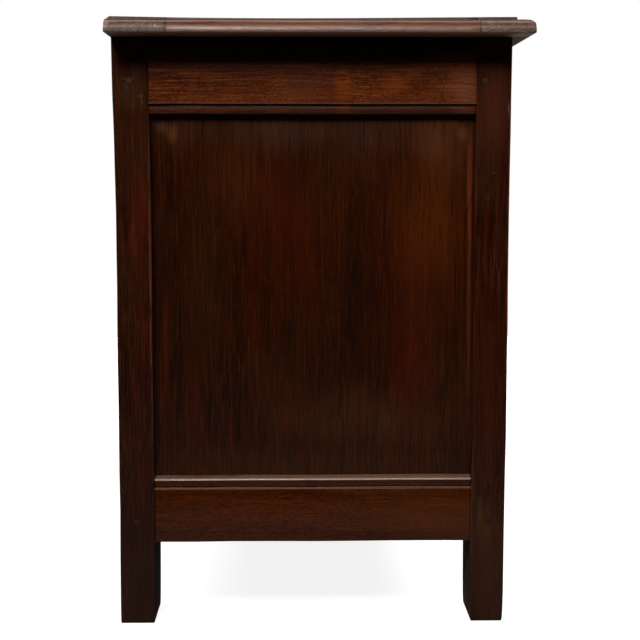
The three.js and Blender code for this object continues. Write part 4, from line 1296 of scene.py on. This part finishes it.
MARKS = {
    "left_panel": [
        # painted light: a pale greyish band across the top of the panel, where the light falls brightest
        mark(0, 600, 300, 52, (60, 39, 30), 0.65, 0.28, 1.2),
        mark(-45, 560, 80, 50, (72, 33, 18), 0.35, 0.25, 1.2),
        mark(-138, 510, 74, 200, (80, 34, 6), 0.6, 0.25, 1.2),
        mark(-150, 585, 60, 70, (86, 48, 26), 0.6, 0.22, 1),
        mark(-122, 345, 46, 150, (66, 19, 6), 0.55, 0.25, 1.2),
        mark(18, 500, 65, 140, (58, 17, 6), 0.4, 0.25, 1.4),
        mark(100, 545, 65, 100, (68, 29, 7), 0.55, 0.25, 1.2),
        mark(-48, 410, 40, 160, (18, 7, 3), 0.6, ragged=1),
        mark(-66, 370, 14, 130, (26, 4, 4), 0.5),
        mark(28, 335, 55, 100, (20, 7, 3), 0.55, ragged=1.2),
        mark(134, 400, 45, 160, (38, 22, 7), 0.5, ragged=1.2),
        mark(187, 450, 18, 150, (22, 6, 4), 0.7),
        mark(184, 345, 6, 90, (70, 25, 9), 0.45, 0.3),
        mark(40, 250, 30, 50, (72, 25, 10), 0.45, 0.25, 1.4),
        mark(-22, 252, 80, 60, (68, 38, 16), 0.5, 0.25, 1.4),
        mark(-120, 240, 60, 50, (56, 30, 14), 0.45, 0.25, 1.4),
        mark(0, 190, 300, 40, (58, 32, 13), 0.45, 0.3, 1.2),
        mark(-187.5, 410, 1.2, 200, (16, 5, 3), 0.7, soft=0.4),
        mark(-182.2, 410, 3.2, 195, (84, 36, 18), 0.5, 0.25, soft=0.4),
        mark(-182.2, 455, 2.8, 100, (104, 52, 32), 0.25, 0.3, soft=0.8),
        mark(-181.2, 540, 4.4, 95, (106, 50, 28), 0.55, 0.34, 0.5, soft=0.6),
        mark(-176.6, 430, 1.4, 150, (16, 3, 1), 0.5, soft=0.6),
        mark(-172, 594, 12, 16, (96, 58, 38), 0.5, 0.25, 1),
        mark(173, 595, 10, 18, (100, 58, 24), 0.5, 0.25, 1),
        mark(185, 602, 14, 12, (78, 54, 36), 0.5, 0.25, 1),
    ],
    "left_top_rail": [
        mark(15, 652, 50, 26, (62, 32, 24), 0.5, 0.3, 1),
        mark(-172, 648, 30, 40, (110, 64, 46), 0.6, 0.28, 1),
        # painted shade: the soft lower edge of the shadow under the lid
        mark(100, 675, 120, 18, (44, 15, 6), 0.5, ragged=0.8),
        # painted shade: the shadow under the lid's overhang, darkened into the top of the rail
        mark(0, 704, 500, 34, GRIME_AND_SHADE_MARK, 0.85, soft=0.5),
        mark(-29, 648, 16, 38, (124, 54, 8), 0.42, 0.3, 0.8),
        mark(-89, 651, 24, 19, (126, 56, 10), 0.45, 0.3, 0.8),
    ],
    "back_left_stile": [
        mark(214, 70, 40, 130, (30, 9, 0), 0.7, ragged=0.8),
        mark(220, 645, 25, 36, (50, 31, 17), 0.45),
        mark(210, 500, 20, 90, (62, 16, 6), 0.45),
        mark(223.5, 657.5, 12, 1.2, (96, 74, 56), 0.6, 0.4, 1.2),
        mark(224.5, 648, 6, 5, (78, 56, 40), 0.45, 0.45, 1.6),
        mark(208.5, 637.5, 5, 2.2, (104, 82, 64), 0.55, 0.4, 1.4),
        mark(206, 631, 3, 6, (84, 60, 44), 0.4, 0.45, 1.6),
        mark(220.5, 627, 9, 1, (92, 66, 50), 0.5, 0.45, 1.2),
        # painted highlight along the stile's inner arris
        mark(199.8, 400, 1.4, 230, (104, 64, 48), 0.4, 0.35, soft=0.5),
        mark(219, 465, 8, 45, (88, 34, 14), 0.32, 0.35, 1.6),
    ],
    "front_left_stile": [
        mark(-204, 118, 15, 45, (72, 44, 14), 0.6, 0.3, 1.6),
        mark(-196, 135, 6, 40, (84, 54, 22), 0.45, 0.35, 1.4),
        mark(-206, 290, 30, 170, (60, 21, 5), 0.3, 0.2, 1),
        mark(-206, 60, 40, 120, (48, 20, 0), 0.6, ragged=0.8),
        mark(-223.5, 620, 2.4, 14, (138, 108, 88), 0.7, 0.45, soft=0.5),
        mark(-226.2, 480, 1.2, 180, (112, 40, 28), 0.6, 0.35, soft=0.5),
        mark(-208, 625, 28, 100, (66, 28, 17), 0.6),
        mark(-209, 548, 3, 2.2, (112, 80, 64), 0.5, 0.3, 1),
        mark(-200, 520, 6, 10, (94, 56, 38), 0.45, 0.45, 1.6),
        mark(-211, 438, 14, 34, (88, 48, 36), 0.4, 0.45, 1.6),
    ],
    "lid_back_rail": [
        edge_mark(205, 20, 50, 3.4, (18, 10, 7), 0.95, ragged=0.4, deep=38, soft=0.3),
        edge_mark(205, 9.2, 34, 3, (204, 190, 180), 0.8, 0.56, 1.2),
        edge_mark(184, 7, 10, 3.6, (196, 178, 166), 0.7, 0.5, 1.2),
        edge_mark(243.5, 9, 6, 9, (190, 172, 160), 0.55, 0.42, 1.2),
    ],
    "lid_front_rail": [
        edge_mark(-210, 20, 60, 3, (34, 22, 16), 0.75, ragged=0.4, deep=38, soft=0.3),
        # painted highlight along the shoulder's arris, with dust
        edge_mark(-205, 13.5, 45, 3, (168, 148, 134), 0.55, 0.5, 1.2),
        # painted light on the underside of the lid's front overhang
        mark(-236, LID_LOW / MM, 22, 3, (200, 182, 166), 0.8, x=-0.57, ragged=0.8),
        edge_mark(-196, 12, 10, 7, (132, 104, 92), 0.55, 0.45, 1.2),
    ],
    "left_bottom_rail": [
        mark(-150, 135, 120, 45, (84, 38, 8), 0.3, 0.2, 1),
        mark(191.6, 155.4, 1.8, 1.6, GRIME_AND_SHADE_MARK, 0.85, soft=0.4),
        mark(196, 183.8, 3, 2.2, GRIME_AND_SHADE_MARK, 0.8, soft=0.4),
    ],
}


def lid_rail_marks():
    """Both ends of the lid: a pale line along the shoulder of the moulded edge that is dust and painted
    highlight, a painted highlight on its belly, and painted light on the edge underneath."""
    marks = []
    for side in (-1, 1):
        for up, deep, high, colour, share, broken, soft in (
            # a pale line along the shoulder: painted highlight where its arris catches the light, with dust
            (13.4, 120, 1.5, (150, 126, 114), 0.5, 0.30, 0.6),
            # a painted highlight on the belly of the edge
            (6.8, 120, 2.4, (150, 112, 88), 0.4, 0.35, 0.8),
            # painted light on the edge underneath
            (0, 20, 0.6, (180, 118, 92), 0.5, 0.15, 0.5),
        ):
            at = side * LID_END, MIDDLE_Y, LID_LOW + up * MM
            marks.append(oval(at, (deep * MM, 3.0, high * MM), colour, share, broken, soft=soft))
    return marks


def rail_marks(wall_name, level):
    """A darker band over a rail's moulding, painted shade in its quirk, a painted highlight along the bottom
    rail's thumb, and a pale band on the arris above the quirk that is rubbed wear and painted highlight.
    """
    if wall_name == "back":
        return []
    wall = WALLS[wall_name]
    top = level == "top"
    away, sight, edge = (1, TOP_SIGHT, TOP_THUMB) if top else (-1, BOTTOM_SIGHT, BOTTOM_THUMB)
    middle = 0 if wall["lies"] == X else MIDDLE_Y

    def band(offset, high, colour, share, **more):
        at = wall_point(wall, middle, 0, sight + away * offset)
        size = wall_step(wall, 3.0, wall["inward"] * 30 * MM, high * MM)
        return oval(at, size, colour, share, **more)

    quirk = edge["reach"] - QUIRK_HEIGHT / 2
    arris = edge["reach"] + (0.7 * MM if top else 1.0 * MM)
    marks = [
        # a darker band over the thumb
        band(4.5 * MM, 6.8, (24, 10, 7), 0.6 if top else 0.35, soft=0.3),
        # painted shade in the quirk
        band(quirk, 1.5, (20, 3, 1), 0.8, soft=0.4),
        # rubbed wear, with a painted highlight where the arris catches the light
        band(arris, 0.9, (124, 88, 68), 0.25 if top else 0.6, soft=0.5, broken=0.25),
    ]
    if not top:
        # a painted highlight along the bottom rail's thumb
        highlight_share = 0.65 if wall_name == "left" else 0.3
        marks.insert(1, band(3.7 * MM, 1.5, (176, 142, 124), highlight_share, soft=0.6, broken=0.15))
    return marks


def box_of(piece):
    """The lowest and highest corner of a piece."""
    places = list(zip(*(vertex.co for vertex in piece.data.vertices)))
    return Vector(map(min, places)), Vector(map(max, places))


def oaken(piece, node, grain, tone, body="carcass", slot=None, dry=(), marks=(), foot=None):
    """Finishes a wooden piece in its tone of oak, with the marks that it bears."""
    name = node or piece.name
    marks = [*marks, *MARKS.get(name, [])]
    material = oak(f"oak_{name}", box_of(piece), grain, TONES[tone], marks, dry, foot)
    finish(piece, body, slot or f"{tone}_oak", material, *([node] if node else []))


def stiles():
    """The four corner posts, dry on the sides that face into the chest."""
    board_low = corner("floor_board_3")[0].z
    for end_name in ("left", "right"):
        for side_name in ("front", "back"):
            dry = [(Z, board_low, board_low + 3 * MM)]
            for wall in (WALLS[end_name], WALLS[side_name]):
                inside = wall["face"] + wall["inward"] * (RAIL_THICKNESS - 1 * MM)
                dry.append((1 - wall["lies"], inside, inside + wall["inward"] * 2 * MM))
            foot = WALLS[end_name]["inward"], WALLS[side_name]["inward"]
            node = f"{side_name}_{end_name}_stile"
            oaken(stile(end_name, side_name), node, Z, "stile", dry=dry, foot=foot)


def wall_pieces(wall_name):
    """The rails, muntins and panels of a wall, dry on the side that faces into the chest."""
    wall = WALLS[wall_name]

    def dry_between(outer, inner):
        depths = [wall["face"] + wall["inward"] * depth for depth in (outer, inner)]
        return [(1 - wall["lies"], *depths)]

    dry = dry_between(RAIL_THICKNESS - 3 * MM, RAIL_THICKNESS)
    rails = {level: rail(wall_name, level) for level in ("top", "bottom")}
    spans = [(f"{wall_name}_panel", *wall["reach"])]
    if wall["lies"] == X:
        edges = [-INNER_END]
        for index in (1, 2):
            node = f"{wall_name}_muntin_{index}"
            oaken(muntin(wall_name, index, rails.values()), node, Z, "stile", dry=dry)
            edges += [place.x for place in corner(node)]
        edges.append(INNER_END)
        spans = [(f"{wall_name}_panel_{step}", *edges[2 * step - 2:2 * step]) for step in (1, 2, 3)]
    for level, piece in rails.items():
        cut_rail(wall_name, level, piece)
        tone = "rail" if level == "top" and wall_name != "left" else f"{level}_rail"
        node = f"{wall_name}_{level}_rail"
        marks = rail_marks(wall_name, level)
        oaken(piece, node, wall["lies"], tone, slot=f"{level}_rail_oak", dry=dry, marks=marks)
    for name, start, end in spans:
        piece = panel(wall_name, name, start, end)
        oaken(piece, name, Z, "panel", dry=dry_between(PANEL_BACK - MM, PANEL_BACK + MM))


def carcass():
    """The whole box under the lid."""
    stiles()
    for wall_name in WALLS:
        wall_pieces(wall_name)
    for index in range(1, 6):
        oaken(floor_board(index), f"floor_board_{index}", Y, "floor")
    carcass_pegs()


def cut_rail(wall_name, level, piece):
    """Peg holes, and the cuts for the lock and hinges."""
    if WALLS[wall_name]["lies"] == X:
        top = level == "top"
        carve(piece, peg_holes(wall_name, lambda along, height: (
            abs(along) < INNER_END and (height > BETWEEN_RAILS) == top
        )))
    if (wall_name, level) == ("front", "top"):
        for cutter in keyhole(FRONT - CUTTER_SPARE, FRONT + RAIL_THICKNESS + CUTTER_SPARE):
            carve(piece, [cutter])
    if (wall_name, level) == ("back", "top"):
        plates = []
        for side in HINGES:
            low, high = corner(f"{side}_hinge_plate")
            start = low.x - GAP, BACK - 2 * MM - GAP, low.z - GAP
            plates.append(block("recess", start, (high.x + GAP, BACK + 3 * MM, BODY_TOP + 3 * MM)))
        carve(piece, plates)
        carve(piece, barrel_notches())


def carcass_pegs():
    """The pegs of the front and back as one piece each, and those of the ends one by one."""
    for wall_name in ("front", "back"):
        pegs = [peg("peg", WALLS[wall_name], along, height) for along, height in PEGS[wall_name]]
        oaken(joined(f"{wall_name}_pegs", pegs), None, Y, "peg")
    for end_name in ("left", "right"):
        for node, place in zip(end_peg_nodes(end_name), PEGS[end_name]):
            oaken(peg(f"{node}_wood", WALLS[end_name], *place), node, X, "peg")


def lid():
    """The lid's frame, panels and pegs."""
    for name, piece in lid_pieces().items():
        if name == "lid_pegs":
            oaken(piece, None, Z, "peg", "lid")
            continue
        grain = Y if name in ("lid_left_rail", "lid_right_rail", "lid_muntin_1", "lid_muntin_2") else X
        low = box_of(piece)[0].z
        dry = [(Z, low + 1.2 * MM, low + 0.2 * MM)]
        marks = lid_rail_marks() if name.endswith("_rail") else []
        oaken(piece, name, grain, "lid", "lid", dry=dry, marks=marks)


def ironwork():
    """Hinges, lock, key plate and key."""
    iron = wrought_iron()

    def fit(piece, body, *nodes):
        finish(piece, body, "wrought_iron", iron, *nodes)

    for side in HINGES:
        for part, body in (("strap", "lid"), ("plate", "carcass"), ("pin", "carcass")):
            node = f"{side}_hinge_{part}"
            fit(softened(node, 0.25 * MM), body, node)
        low, high = corner(f"{side}_hinge_plate")
        middle = (low.x + high.x) / 2
        pattern = (-11, 9), (11, 9), (-9, 34), (9, 34), (0, 54)
        places = [(middle + across * MM, BACK, low.z + up * MM) for across, up in pattern]
        fit(nails(f"{side}_plate_nails", places, (0, 1, 0), 2.7 * MM, 1.1 * MM), "carcass")
        low, high = corner(f"{side}_hinge_strap")
        pattern = (-10, 9), (10, 9), (0, 22), (-9, 38), (9, 38)
        places = [(middle + across * MM, low.y + along * MM, LID_LOW) for across, along in pattern]
        fit(nails(f"{side}_strap_nails", places, (0, 0, -1), 2.6 * MM, 0.2 * MM), "lid")
    for node, body in (("lock_case", "carcass"), ("lock_bolt", "bolt"), ("lid_staple", "lid")):
        fit(softened(node, ARRIS["iron"]), body, node)
    fit(escutcheon_piece(), "carcass", "escutcheon")
    fit(key_piece(), "key", "key")
    low, high = corner("escutcheon")
    inset = 7 * MM
    columns, rows = (low.x + inset, high.x - inset), (low.z + inset, high.z - inset)
    places = [(x, low.y - 0.3 * MM, z) for x in columns for z in rows]
    fit(nails("escutcheon_nails", places, (0, -1, 0), 2.2 * MM, 0.9 * MM), "carcass")


scene = bpy.context.scene
scene.view_settings.view_transform = "Standard"
photo_camera()
studio_lamps()
studio_world()
studio_floor()
carcass()
lid()
ironwork()
deselect()
